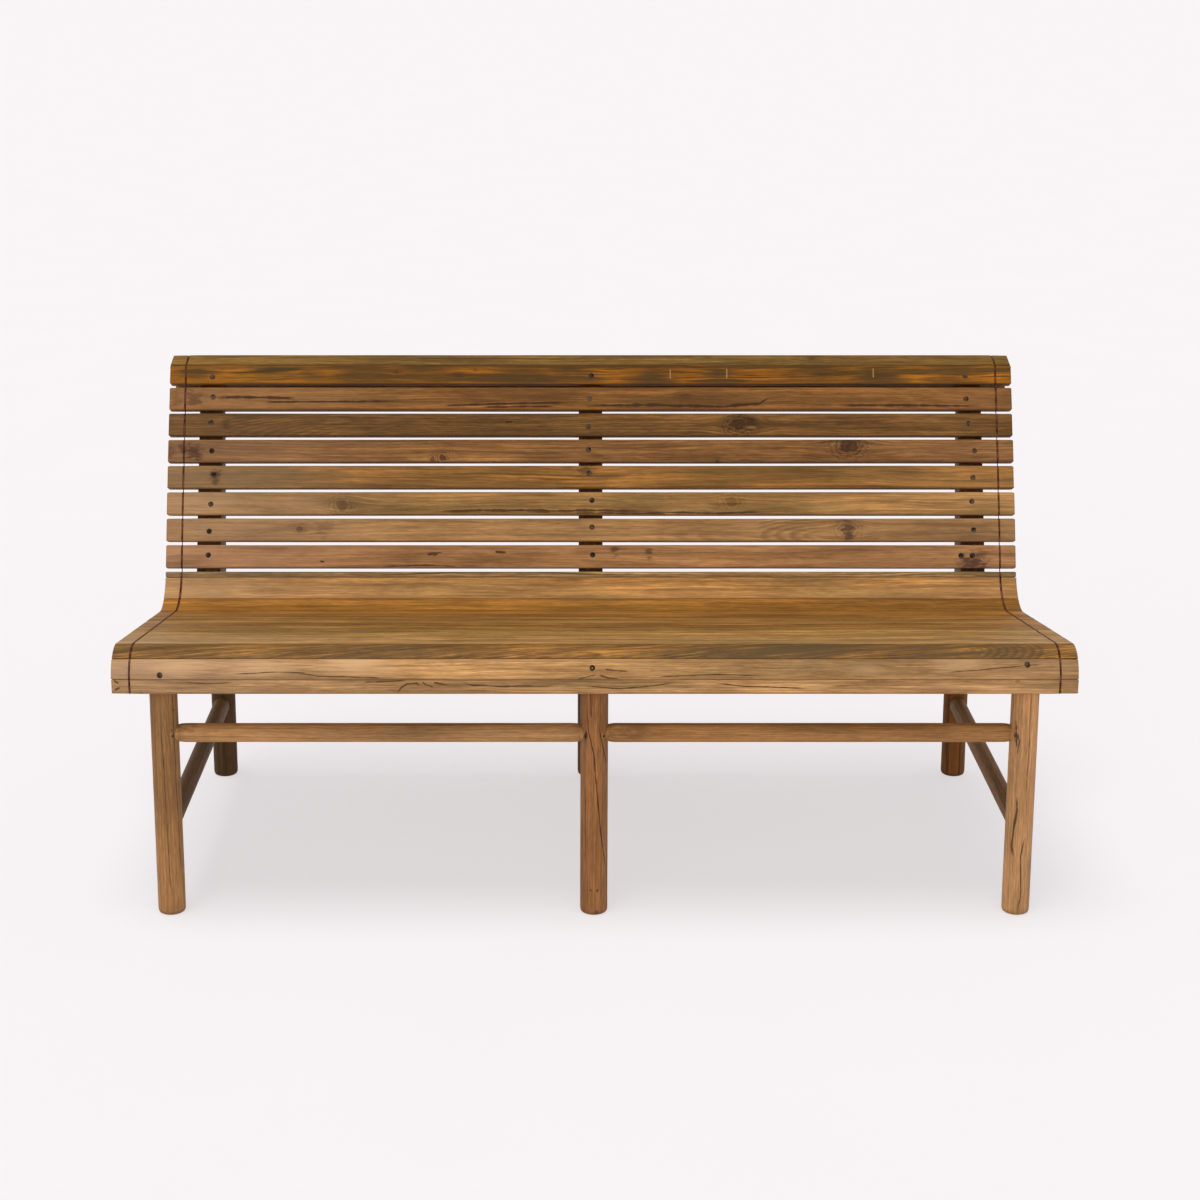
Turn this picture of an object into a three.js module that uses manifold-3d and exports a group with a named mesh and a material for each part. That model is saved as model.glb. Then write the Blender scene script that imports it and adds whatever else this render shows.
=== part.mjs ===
// Garden bench: an S-shaped run of teak strips on three ribs, six round legs and seven round stretchers.
// Millimetres, +Z up. X is the length of the bench, the bench faces -Y, and it stands on Z = 0.
// Shapes are drawn in side view as (depth behind the apron's front face, height) and extruded along X.
import * as THREE from 'three';
import { mergeVertices } from 'three/addons/utils/BufferGeometryUtils.js';
import Module from 'manifold-3d';

const wasm = await Module();
wasm.setup();

// Overall
const LENGTH = 1500;
const THICKNESS = 20;
const FIT_GAP = 0.3;
const CUTTER_OVERSHOOT = 3;
const WELD_DISTANCE = 1e-4;

// Side profile of the upper surface, from the bottom of the apron to the top of the back
const APRON_BOTTOM = 380.5;
const NOSING_RADIUS = 45;
const NOSING_HEIGHT = 403;
const SEAT_SLOPE = THREE.MathUtils.degToRad(9.9);
const SEAT_LENGTH = 385;
const BEND_RADIUS = 70;
const BACK_RECLINE = THREE.MathUtils.degToRad(18.6);
const BACK_RADIUS = 4600;
const BACK_LENGTH = 400;
const ARC_STEP = THREE.MathUtils.degToRad(7);
const SHORTEST_STEP = 0.5;

// Strip widths along the profile
const LOWER_APRON_WIDTH = 23.2;
const UPPER_APRON_WIDTH = 34;
const NOSING_WIDTH = 37;
const SEAT_STRIP_COUNT = 10;
const SEAT_STRIP_WIDTH = 40;
const BEND_STRIP_COUNT = 2;
const BEND_STRIP_WIDTH = 42;
const CLOSING_STRIP_WIDTH = 10;
const BACK_SLAT_COUNT = 8;
const BACK_SLAT_WIDTH = 41.5;
const BACK_SLAT_GAP = 5.5;
const TOP_SLAT_WIDTH = 35.2;
const CAP_WIDTH = 40;
const CAP_SLOPE = THREE.MathUtils.degToRad(16);
const REAR_STRIP_WIDTH = 42;
const REAR_STRIP_START = new THREE.Vector2(662, 719.5);
const REAR_STRIP_RECLINE = THREE.MathUtils.degToRad(14);
const REAR_STRIP_INSET = 4;

// Inlay wire and its saw groove
const WIRE_INSET = 28.5;
const WIRE_RADIUS = 0.9;
const WIRE_DEPTH = 1.2;
const WIRE_SIDES = 8;
const WIRE_STEPS = 64;
const WIRE_END_GAP = 1;
const GROOVE_WIDTH = 2.6;
const GROOVE_DEPTH = 3.2;
const CORNER_GROOVE_REACH = 16;
const CORNER_GROOVE_DEPTH = 6.5;

// Ribs: a seat bearer and a back upright in each
const RIB_SPACING = 677;
const RIB_THICKNESS = 42;
const RIB_OFFSET = THICKNESS + FIT_GAP;
const BEARER_FRONT_BOTTOM = 375.5;
const BEARER_FRONT_FLAT = 68;
const BEARER_REAR_BOTTOM = 292;
const BEARER_REAR_FLAT = 560;
const BEARER_BACK = 676;
const SHOULDER_HEIGHT = 372;
const SHOULDER_SPLIT_SHARE = 0.49;
const SHOULDER_CLEARANCE = 1;
const UPRIGHT_FOOT_BACK = 592;
const UPRIGHT_REAR_PULL = new THREE.Vector2(638, 600);
const UPRIGHT_REAR_STEPS = 8;
const UPRIGHT_UNDER_CAP = 23.5;
const TENON_START = 520;
const TENON_END = 575;
const TENON_THICKNESS = 14;
const TENON_LENGTH = 38;
const TENON_ROOT = 5;

// Legs
const LEG_RADIUS = 22.2;
const LEG_FRONT_DEPTH = 43;
const LEG_BACK_DEPTH = 650;
const FOOT_CHAMFER = 4;
const FOOT_EASE = 1.2;
const LEG_TENON_RADIUS = 12;
const LEG_TENON_LENGTH = 23;
const LEG_SIDES = 24;

// Stretchers
const STRETCHER_RADIUS = 15.4;
const STRETCHER_NECK = 14.4;
const STRETCHER_TAPER = 30;
const STRETCHER_TENON_RADIUS = 13.6;
const STRETCHER_TENON_REACH = 7;
const FRONT_STRETCHER_HEIGHT = 302;
const BACK_STRETCHER_HEIGHT = 236;
const SIDE_STRETCHER_HEIGHT = 142;
const ROD_SIDES = 16;

// Fasteners
const PIN_RADIUS = 2.2;
const PIN_OFFSET = 14;
const PIN_LENGTH = 24;
const PIN_SIDES = 12;
const SCREW_HEAD_RADIUS = 3.5;
const SCREW_HEAD_DEPTH = 2.6;
const SCREW_SHANK_RADIUS = 2;
const SCREW_LENGTH = 38;
const SCREW_SUNK = 0.4;
const APRON_SCREWS = [
  { side: 'left', x: -674, angle: THREE.MathUtils.degToRad(10) },
  { side: 'centre', x: -4, angle: THREE.MathUtils.degToRad(25) },
  { side: 'right', x: 670, angle: THREE.MathUtils.degToRad(32) },
];

const SIDES = [
  { side: 'left', x: -RIB_SPACING },
  { side: 'centre', x: 0 },
  { side: 'right', x: RIB_SPACING },
];

function wood(color, roughness) {
  return new THREE.MeshStandardMaterial({ color, roughness, metalness: 0 });
}

const slatWood = wood(0x9a6633, 0.55);
const seatWood = wood(0xa9793f, 0.55);
const apronWood = wood(0xae7f4c, 0.55);
const ribWood = wood(0x6e4a28, 0.7);
const legWood = wood(0x875d37, 0.6);
const copper = new THREE.MeshStandardMaterial({ color: 0x7a4030, roughness: 0.45, metalness: 0.8 });
const steel = new THREE.MeshStandardMaterial({ color: 0x3c3a37, roughness: 0.5, metalness: 0.8 });

const bench = new THREE.Group();
const placed = new THREE.Group();
bench.add(placed);

// ---------------------------------------------------------------- solids

function toSolid(geometry) {
  const plain = geometry.clone();
  plain.deleteAttribute('normal');
  plain.deleteAttribute('uv');
  const merged = mergeVertices(plain, WELD_DISTANCE);
  const mesh = new wasm.Mesh({
    numProp: 3,
    vertProperties: new Float32Array(merged.attributes.position.array),
    triVerts: new Uint32Array(merged.index.array),
  });
  mesh.merge();
  return new wasm.Manifold(mesh);
}

function toGeometry(solid) {
  const mesh = solid.getMesh();
  const geometry = new THREE.BufferGeometry();
  geometry.setAttribute('position', new THREE.BufferAttribute(mesh.vertProperties, 3));
  geometry.setIndex(new THREE.BufferAttribute(mesh.triVerts, 1));
  geometry.computeVertexNormals();
  return geometry;
}

function cut(geometry, cutters) {
  let solid = toSolid(geometry);
  for (const cutter of cutters) {
    solid = solid.subtract(toSolid(cutter));
  }
  return toGeometry(solid);
}

function addPiece(name, geometry, material) {
  const mesh = new THREE.Mesh(geometry, material);
  mesh.name = name;
  placed.add(mesh);
}

// Extrudes a side-view outline of (depth, height) points from x = centre - width / 2.
function sideExtrusion(outline, width, centre) {
  const geometry = new THREE.ExtrudeGeometry(new THREE.Shape(outline), {
    depth: width,
    bevelEnabled: false,
  });
  const basis = new THREE.Matrix4().makeBasis(
    new THREE.Vector3(0, 1, 0),
    new THREE.Vector3(0, 0, 1),
    new THREE.Vector3(1, 0, 0),
  );
  geometry.applyMatrix4(basis);
  geometry.translate(centre - width / 2, 0, 0);
  return geometry;
}

// A turned solid along +Z from (radius, height) points; the first and last lie on the axis.
function turned(profile, sides) {
  const points = profile.map(([radius, height]) => new THREE.Vector2(radius, height));
  const geometry = new THREE.LatheGeometry(points, sides);
  geometry.rotateX(Math.PI / 2);
  return geometry;
}

function rod(radius, start, end, sides) {
  const length = start.distanceTo(end);
  const geometry = turned([[0, 0], [radius, 0], [radius, length], [0, length]], sides);
  return alongLine(geometry, start, end);
}

function alongLine(geometry, start, end) {
  const direction = end.clone().sub(start).normalize();
  const turn = new THREE.Quaternion().setFromUnitVectors(new THREE.Vector3(0, 0, 1), direction);
  geometry.applyQuaternion(turn);
  geometry.translate(start.x, start.y, start.z);
  return geometry;
}

// ---------------------------------------------------------------- side profile

// The profile is a chain of straight and curved stretches, each starting where the last one ends.
// heading is the direction of travel, measured from +depth; turn is positive to the left.
function buildProfile() {
  const stretches = [
    { length: NOSING_HEIGHT - APRON_BOTTOM, turn: 0 },
    { length: NOSING_RADIUS * (Math.PI / 2 + SEAT_SLOPE), turn: -(Math.PI / 2 + SEAT_SLOPE) },
    { length: SEAT_LENGTH, turn: 0 },
    {
      length: BEND_RADIUS * (Math.PI / 2 - BACK_RECLINE + SEAT_SLOPE),
      turn: Math.PI / 2 - BACK_RECLINE + SEAT_SLOPE,
    },
    { length: BACK_LENGTH, turn: -BACK_LENGTH / BACK_RADIUS },
  ];
  let s = 0;
  let heading = Math.PI / 2;
  let at = new THREE.Vector2(0, APRON_BOTTOM);
  for (const stretch of stretches) {
    stretch.start = s;
    stretch.heading = heading;
    stretch.origin = at;
    at = pointOnStretch(stretch, stretch.length);
    s += stretch.length;
    heading += stretch.turn;
  }
  return stretches;
}

function pointOnStretch(stretch, along) {
  if (stretch.turn === 0) {
    return stretch.origin.clone().add(heading2(stretch.heading).multiplyScalar(along));
  }
  const curvature = stretch.turn / stretch.length;
  const swept = curvature * along;
  const chord = (2 * Math.sin(swept / 2)) / curvature;
  return stretch.origin.clone().add(heading2(stretch.heading + swept / 2).multiplyScalar(chord));
}

function heading2(angle) {
  return new THREE.Vector2(Math.cos(angle), Math.sin(angle));
}

const PROFILE = buildProfile();

// The point at distance s along the profile, moved by offset towards the open side of the surface.
function profilePoint(s, offset) {
  const inside = PROFILE.filter((stretch) => stretch.start <= s);
  const stretch = inside.length > 0 ? inside[inside.length - 1] : PROFILE[0];
  const along = s - stretch.start;
  const heading = stretch.heading + (stretch.turn / stretch.length) * along;
  const normal = heading2(heading + Math.PI / 2);
  return pointOnStretch(stretch, along).add(normal.multiplyScalar(offset));
}

// Distances from s0 to s1 with a stop at every joint of the profile and every few degrees of an arc.
function profileStops(s0, s1) {
  const stops = [s0];
  for (const stretch of PROFILE) {
    const count = Math.max(1, Math.ceil(Math.abs(stretch.turn) / ARC_STEP));
    for (let i = 0; i < count; i += 1) {
      const s = stretch.start + (stretch.length * i) / count;
      if (s > s0 + SHORTEST_STEP && s < s1 - SHORTEST_STEP) {
        stops.push(s);
      }
    }
  }
  stops.push(s1);
  return stops;
}

function profileLine(s0, s1, offset) {
  return profileStops(s0, s1).map((s) => profilePoint(s, offset));
}

// ---------------------------------------------------------------- strips

function wireGrooves(s0, s1) {
  const start = s0 - CUTTER_OVERSHOOT;
  const end = s1 + CUTTER_OVERSHOOT;
  const outline = [
    ...profileLine(start, end, CUTTER_OVERSHOOT),
    ...profileLine(start, end, -GROOVE_DEPTH).reverse(),
  ];
  const inset = LENGTH / 2 - WIRE_INSET;
  return [-inset, inset].map((x) => sideExtrusion(outline, GROOVE_WIDTH, x));
}

function stripOutline(s0, s1) {
  return [
    ...profileLine(s0, s1, 0),
    ...profileLine(s0, s1, -THICKNESS).reverse(),
  ];
}

function addStrip(name, s0, s1, material, extraCutters = []) {
  const start = s0 + FIT_GAP / 2;
  const end = s1 - FIT_GAP / 2;
  const body = sideExtrusion(stripOutline(start, end), LENGTH, 0);
  addPiece(name, cut(body, [...wireGrooves(start, end), ...extraCutters]), material);
}

// ---------------------------------------------------------------- top of the back

const LOWER_APRON_END = LOWER_APRON_WIDTH;
const UPPER_APRON_END = LOWER_APRON_END + UPPER_APRON_WIDTH;
const NOSING_END = UPPER_APRON_END + NOSING_WIDTH;
const SEAT_END = NOSING_END + SEAT_STRIP_COUNT * SEAT_STRIP_WIDTH;
const BEND_END = SEAT_END + BEND_STRIP_COUNT * BEND_STRIP_WIDTH;
const CLOSING_END = BEND_END + CLOSING_STRIP_WIDTH;
const FIRST_SLAT_START = CLOSING_END + BACK_SLAT_GAP;
const SLAT_PITCH = BACK_SLAT_WIDTH + BACK_SLAT_GAP;
const TOP_SLAT_START = FIRST_SLAT_START + (BACK_SLAT_COUNT - 1) * SLAT_PITCH;
const TOP_SLAT_END = TOP_SLAT_START + TOP_SLAT_WIDTH;
const CAP_CORNER = profilePoint(TOP_SLAT_END, 0);
const CAP_DIRECTION = heading2(CAP_SLOPE);
const CAP_INWARD = heading2(CAP_SLOPE - Math.PI / 2);

// The mitre between the top slat and the cap runs from their shared corner to this inner point.
function mitreInner(thickness) {
  const slatInward = profilePoint(TOP_SLAT_END, -1).sub(CAP_CORNER);
  const middle = slatInward.add(CAP_INWARD).normalize();
  return CAP_CORNER.clone().add(middle.multiplyScalar(thickness / middle.dot(CAP_INWARD)));
}

function capPoint(along, depth) {
  return CAP_CORNER.clone()
    .add(CAP_DIRECTION.clone().multiplyScalar(along))
    .add(CAP_INWARD.clone().multiplyScalar(depth));
}

function addTopSlat() {
  const shift = CAP_DIRECTION.clone().multiplyScalar(-FIT_GAP);
  const outline = [
    profilePoint(TOP_SLAT_START, 0),
    profilePoint(TOP_SLAT_END - FIT_GAP, 0),
    mitreInner(THICKNESS).add(shift),
    profilePoint(TOP_SLAT_START, -THICKNESS),
  ];
  const body = sideExtrusion(outline, LENGTH, 0);
  const grooves = [...wireGrooves(TOP_SLAT_START, TOP_SLAT_END), ...topGrooves()];
  addPiece('back_slat_1', cut(body, grooves), slatWood);
}

// The wire's groove over the mitre: it runs from the slat's face, round the corner, to the cap's end,
// and is deeper at the corner, where the wire cuts across.
function topGrooves() {
  const capEnd = CAP_WIDTH + CUTTER_OVERSHOOT;
  const outline = [
    profilePoint(TOP_SLAT_END - CORNER_GROOVE_REACH, CUTTER_OVERSHOOT),
    mitreInner(-CUTTER_OVERSHOOT),
    capPoint(capEnd, -CUTTER_OVERSHOOT),
    capPoint(capEnd, GROOVE_DEPTH),
    capPoint(CORNER_GROOVE_REACH, GROOVE_DEPTH),
    mitreInner(CORNER_GROOVE_DEPTH),
    profilePoint(TOP_SLAT_END - CORNER_GROOVE_REACH, -GROOVE_DEPTH),
  ];
  const inset = LENGTH / 2 - WIRE_INSET;
  return [-inset, inset].map((x) => sideExtrusion(outline, GROOVE_WIDTH, x));
}

function addCap() {
  const outline = [
    capPoint(0, 0),
    capPoint(CAP_WIDTH, 0),
    capPoint(CAP_WIDTH, THICKNESS),
    mitreInner(THICKNESS),
  ];
  addPiece('top_cap_strip', cut(sideExtrusion(outline, LENGTH, 0), topGrooves()), slatWood);
}

function rearStripPoint(along, depth) {
  const up = new THREE.Vector2(Math.sin(REAR_STRIP_RECLINE), Math.cos(REAR_STRIP_RECLINE));
  const back = new THREE.Vector2(up.y, -up.x);
  return REAR_STRIP_START.clone().add(up.multiplyScalar(along)).add(back.multiplyScalar(depth));
}

function addRearStrip() {
  const outline = [
    rearStripPoint(0, FIT_GAP),
    rearStripPoint(REAR_STRIP_WIDTH, FIT_GAP),
    rearStripPoint(REAR_STRIP_WIDTH, FIT_GAP + THICKNESS),
    rearStripPoint(0, FIT_GAP + THICKNESS),
  ];
  addPiece('rear_top_strip', sideExtrusion(outline, LENGTH - 2 * REAR_STRIP_INSET, 0), slatWood);
}

// ---------------------------------------------------------------- inlay wires

class WireRoute extends THREE.Curve {
  constructor(x) {
    super();
    this.x = x;
    this.onProfile = TOP_SLAT_END - WIRE_END_GAP;
    this.total = this.onProfile + CAP_WIDTH - WIRE_END_GAP;
  }

  getPoint(t, target = new THREE.Vector3()) {
    const along = t * this.total;
    const beyond = along - this.onProfile;
    const flat = beyond < 0
      ? profilePoint(WIRE_END_GAP + along, -WIRE_DEPTH)
      : capPoint(beyond, WIRE_DEPTH);
    return target.set(this.x, flat.x, flat.y);
  }
}

function addWire(name, x) {
  const section = new THREE.Shape();
  for (let i = 0; i < WIRE_SIDES; i += 1) {
    const angle = ((i + 0.5) * 2 * Math.PI) / WIRE_SIDES;
    const corner = new THREE.Vector2(Math.cos(angle), Math.sin(angle)).multiplyScalar(WIRE_RADIUS);
    if (i === 0) {
      section.moveTo(corner.x, corner.y);
    } else {
      section.lineTo(corner.x, corner.y);
    }
  }
  const geometry = new THREE.ExtrudeGeometry(section, {
    steps: WIRE_STEPS,
    extrudePath: new WireRoute(x),
    bevelEnabled: false,
  });
  addPiece(name, geometry, copper);
}

// ---------------------------------------------------------------- fasteners

function screwRay(screw, fromSurface) {
  const angle = Math.PI - screw.angle;
  const radius = NOSING_RADIUS - fromSurface;
  return new THREE.Vector3(
    screw.x,
    NOSING_RADIUS + Math.cos(angle) * radius,
    NOSING_HEIGHT + Math.sin(angle) * radius,
  );
}

function screwSolid(screw, clearance) {
  const top = clearance > 0 ? -CUTTER_OVERSHOOT : SCREW_SUNK;
  const profile = [
    [0, 0],
    [SCREW_HEAD_RADIUS + clearance, 0],
    [SCREW_HEAD_RADIUS + clearance, SCREW_HEAD_DEPTH + SCREW_SUNK - top + clearance],
    [SCREW_SHANK_RADIUS + clearance, SCREW_HEAD_DEPTH + SCREW_SUNK - top + clearance],
    [SCREW_SHANK_RADIUS + clearance, SCREW_LENGTH - top + clearance],
    [0, SCREW_LENGTH - top + clearance],
  ];
  return alongLine(turned(profile, PIN_SIDES), screwRay(screw, top), screwRay(screw, SCREW_LENGTH));
}

// The leg rows. inward is the direction in which a pin is driven into the row's outer face.
const LEG_ROWS = [
  {
    row: 'front',
    depth: LEG_FRONT_DEPTH,
    top: BEARER_FRONT_BOTTOM - FIT_GAP,
    stretcherHeight: FRONT_STRETCHER_HEIGHT,
    inward: 1,
  },
  {
    row: 'back',
    depth: LEG_BACK_DEPTH,
    top: BEARER_REAR_BOTTOM - FIT_GAP,
    stretcherHeight: BACK_STRETCHER_HEIGHT,
    inward: -1,
  },
];

// One pin goes through each tenon of the long stretchers.
const PINS = [];
for (const legRow of LEG_ROWS) {
  PINS.push({ name: `tenon_pin_${legRow.row}_left`, x: -RIB_SPACING + PIN_OFFSET, legRow });
  PINS.push({ name: `tenon_pin_${legRow.row}_centre_left`, x: -PIN_OFFSET, legRow });
  PINS.push({ name: `tenon_pin_${legRow.row}_centre_right`, x: PIN_OFFSET, legRow });
  PINS.push({ name: `tenon_pin_${legRow.row}_right`, x: RIB_SPACING - PIN_OFFSET, legRow });
}

function pinSolid({ x, legRow }, clearance) {
  const reach = Math.sqrt(LEG_RADIUS ** 2 - PIN_OFFSET ** 2);
  const overshoot = clearance > 0 ? CUTTER_OVERSHOOT : 0;
  const outer = legRow.depth - legRow.inward * (reach + overshoot);
  const inner = legRow.depth - legRow.inward * (reach - PIN_LENGTH - clearance);
  return rod(
    PIN_RADIUS + clearance,
    new THREE.Vector3(x, outer, legRow.stretcherHeight),
    new THREE.Vector3(x, inner, legRow.stretcherHeight),
    PIN_SIDES,
  );
}

// ---------------------------------------------------------------- legs and stretchers

function stretcherSolid(start, end, tenonClearance) {
  const length = start.distanceTo(end);
  const tenon = LEG_RADIUS - STRETCHER_TENON_REACH + FIT_GAP + tenonClearance;
  const neck = STRETCHER_NECK;
  const full = STRETCHER_RADIUS;
  const profile = [
    [0, -tenon],
    [STRETCHER_TENON_RADIUS + tenonClearance, -tenon],
    [STRETCHER_TENON_RADIUS + tenonClearance, 0],
    [neck, 0],
    [full, STRETCHER_TAPER],
    [full, length - STRETCHER_TAPER],
    [neck, length],
    [STRETCHER_TENON_RADIUS + tenonClearance, length],
    [STRETCHER_TENON_RADIUS + tenonClearance, length + tenon],
    [0, length + tenon],
  ];
  return alongLine(turned(profile, ROD_SIDES), start, end);
}

const SHOULDER = LEG_RADIUS + FIT_GAP;
const STRETCHERS = [];
for (const { side, x } of SIDES) {
  STRETCHERS.push({
    name: `side_stretcher_${side}`,
    start: new THREE.Vector3(x, LEG_FRONT_DEPTH + SHOULDER, SIDE_STRETCHER_HEIGHT),
    end: new THREE.Vector3(x, LEG_BACK_DEPTH - SHOULDER, SIDE_STRETCHER_HEIGHT),
  });
}
for (const { row, depth, stretcherHeight } of LEG_ROWS) {
  for (const [side, sign] of [['left', -1], ['right', 1]]) {
    const ends = [SHOULDER * sign, (RIB_SPACING - SHOULDER) * sign].sort((a, b) => a - b);
    STRETCHERS.push({
      name: `${row}_stretcher_${side}`,
      start: new THREE.Vector3(ends[0], depth, stretcherHeight),
      end: new THREE.Vector3(ends[1], depth, stretcherHeight),
    });
  }
}

function legProfile(top) {
  return [
    [0, 0],
    [LEG_RADIUS - FOOT_CHAMFER, 0],
    [LEG_RADIUS - FOOT_EASE, FOOT_EASE],
    [LEG_RADIUS, FOOT_CHAMFER],
    [LEG_RADIUS, top],
    [LEG_TENON_RADIUS, top],
    [LEG_TENON_RADIUS, top + LEG_TENON_LENGTH],
    [0, top + LEG_TENON_LENGTH],
  ];
}

function legTenonHole(x, depth, top) {
  return rod(
    LEG_TENON_RADIUS + FIT_GAP,
    new THREE.Vector3(x, depth, top - CUTTER_OVERSHOOT),
    new THREE.Vector3(x, depth, top + LEG_TENON_LENGTH + FIT_GAP),
    LEG_SIDES,
  );
}

function addLeg(row, side, x, depth, top) {
  const leg = turned(legProfile(top), LEG_SIDES);
  leg.translate(x, depth, 0);
  const near = (point) => Math.hypot(point.x - x, point.y - depth) < LEG_RADIUS + 2 * FIT_GAP;
  const tenonHoles = STRETCHERS.filter(({ start, end }) => near(start) || near(end)).map(
    ({ start, end }) => stretcherSolid(start, end, FIT_GAP),
  );
  const pinHoles = PINS.filter(({ x: pinX, legRow }) => (
    near(new THREE.Vector3(pinX, legRow.depth, 0))
  )).map((pin) => pinSolid(pin, FIT_GAP));
  addPiece(`leg_${row}_${side}`, cut(leg, [...tenonHoles, ...pinHoles]), legWood);
}

function addStretcher({ name, start, end }) {
  const body = stretcherSolid(start, end, 0);
  const holes = PINS.filter(({ legRow }) => name.startsWith(legRow.row)).map((pin) => (
    pinSolid(pin, FIT_GAP)
  ));
  addPiece(name, cut(body, holes), legWood);
}

// ---------------------------------------------------------------- ribs

const BEND = PROFILE[3];
const SHOULDER_SPLIT = BEND.start + BEND.length * SHOULDER_SPLIT_SHARE;

function bearerOutline() {
  const inner = profileLine(0, SHOULDER_SPLIT, -RIB_OFFSET);
  const front = inner[0];
  front.y = BEARER_FRONT_BOTTOM;
  return [
    ...inner,
    new THREE.Vector2(inner[inner.length - 1].x, SHOULDER_HEIGHT),
    new THREE.Vector2(BEARER_BACK, SHOULDER_HEIGHT),
    new THREE.Vector2(BEARER_BACK, BEARER_REAR_BOTTOM),
    new THREE.Vector2(BEARER_REAR_FLAT, BEARER_REAR_BOTTOM),
    new THREE.Vector2(BEARER_FRONT_FLAT, BEARER_FRONT_BOTTOM),
  ];
}

function tenonBox(x, clearance) {
  const outline = [
    new THREE.Vector2(TENON_START - clearance, SHOULDER_HEIGHT - TENON_LENGTH - clearance),
    new THREE.Vector2(TENON_END + clearance, SHOULDER_HEIGHT - TENON_LENGTH - clearance),
    new THREE.Vector2(TENON_END + clearance, SHOULDER_HEIGHT + TENON_ROOT),
    new THREE.Vector2(TENON_START - clearance, SHOULDER_HEIGHT + TENON_ROOT),
  ];
  return sideExtrusion(outline, TENON_THICKNESS + 2 * clearance, x);
}

function uprightOutline() {
  const foot = SHOULDER_HEIGHT + FIT_GAP;
  const bend = profileLine(SHOULDER_SPLIT, FIRST_SLAT_START, -RIB_OFFSET);
  const slats = [];
  for (let i = 1; i < BACK_SLAT_COUNT; i += 1) {
    slats.push(profilePoint(FIRST_SLAT_START + i * SLAT_PITCH, -RIB_OFFSET));
  }
  const rear = new THREE.QuadraticBezierCurve(
    rearStripPoint(0, 0),
    UPRIGHT_REAR_PULL,
    new THREE.Vector2(UPRIGHT_FOOT_BACK, foot),
  ).getPoints(UPRIGHT_REAR_STEPS);
  return [
    new THREE.Vector2(profilePoint(SHOULDER_SPLIT, -RIB_OFFSET).x + SHOULDER_CLEARANCE, foot),
    ...bend.filter((point) => point.y > foot + SHOULDER_CLEARANCE),
    ...slats,
    mitreInner(RIB_OFFSET),
    capPoint(UPRIGHT_UNDER_CAP, RIB_OFFSET),
    rearStripPoint(REAR_STRIP_WIDTH, 0),
    ...rear,
  ];
}

function addRib({ side, x }) {
  const bearer = sideExtrusion(bearerOutline(), RIB_THICKNESS, x);
  const legHoles = LEG_ROWS.map(({ depth, top }) => legTenonHole(x, depth, top));
  const screwHoles = APRON_SCREWS.filter((screw) => screw.side === side).map((screw) => (
    screwSolid(screw, FIT_GAP)
  ));
  const cutters = [tenonBox(x, FIT_GAP), ...legHoles, ...screwHoles];
  addPiece(`seat_bearer_${side}`, cut(bearer, cutters), ribWood);
  const upright = toSolid(sideExtrusion(uprightOutline(), RIB_THICKNESS, x));
  const joined = upright.add(toSolid(tenonBox(x, 0)));
  addPiece(`back_upright_${side}`, toGeometry(joined), ribWood);
}

// ---------------------------------------------------------------- assembly

addStrip('apron_strip_lower', 0, LOWER_APRON_END, apronWood);
addStrip(
  'apron_strip_upper',
  LOWER_APRON_END,
  UPPER_APRON_END,
  apronWood,
  APRON_SCREWS.map((screw) => screwSolid(screw, FIT_GAP)),
);
addStrip('nosing_strip', UPPER_APRON_END, NOSING_END, apronWood);
for (let i = 0; i < SEAT_STRIP_COUNT; i += 1) {
  const start = NOSING_END + i * SEAT_STRIP_WIDTH;
  addStrip(`seat_strip_${i + 1}`, start, start + SEAT_STRIP_WIDTH, seatWood);
}
for (let i = 0; i < BEND_STRIP_COUNT; i += 1) {
  const start = SEAT_END + i * BEND_STRIP_WIDTH;
  addStrip(`bend_strip_${i + 1}`, start, start + BEND_STRIP_WIDTH, seatWood);
}
addStrip('closing_strip', BEND_END, CLOSING_END, seatWood);
for (let i = 0; i < BACK_SLAT_COUNT - 1; i += 1) {
  const start = FIRST_SLAT_START + i * SLAT_PITCH;
  addStrip(`back_slat_${BACK_SLAT_COUNT - i}`, start, start + BACK_SLAT_WIDTH, slatWood);
}
addTopSlat();
addCap();
addRearStrip();
addWire('inlay_wire_left', -(LENGTH / 2 - WIRE_INSET));
addWire('inlay_wire_right', LENGTH / 2 - WIRE_INSET);
SIDES.forEach(addRib);
for (const { row, depth, top } of LEG_ROWS) {
  for (const { side, x } of SIDES) {
    addLeg(row, side, x, depth, top);
  }
}
STRETCHERS.forEach(addStretcher);
for (const pin of PINS) {
  addPiece(pin.name, pinSolid(pin, 0), steel);
}
for (const screw of APRON_SCREWS) {
  addPiece(`apron_screw_${screw.side}`, screwSolid(screw, 0), steel);
}

// The bounding box runs from the apron's front face to the rear top strip, and is centred on Y = 0.
placed.position.y = -rearStripPoint(REAR_STRIP_WIDTH, FIT_GAP + THICKNESS).x / 2;

export default bench;
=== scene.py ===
"""Garden bench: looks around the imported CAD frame. Metres, +Z up, the bench faces -Y."""

import itertools
import math

import bmesh
import bpy
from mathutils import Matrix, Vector, noise


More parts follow.
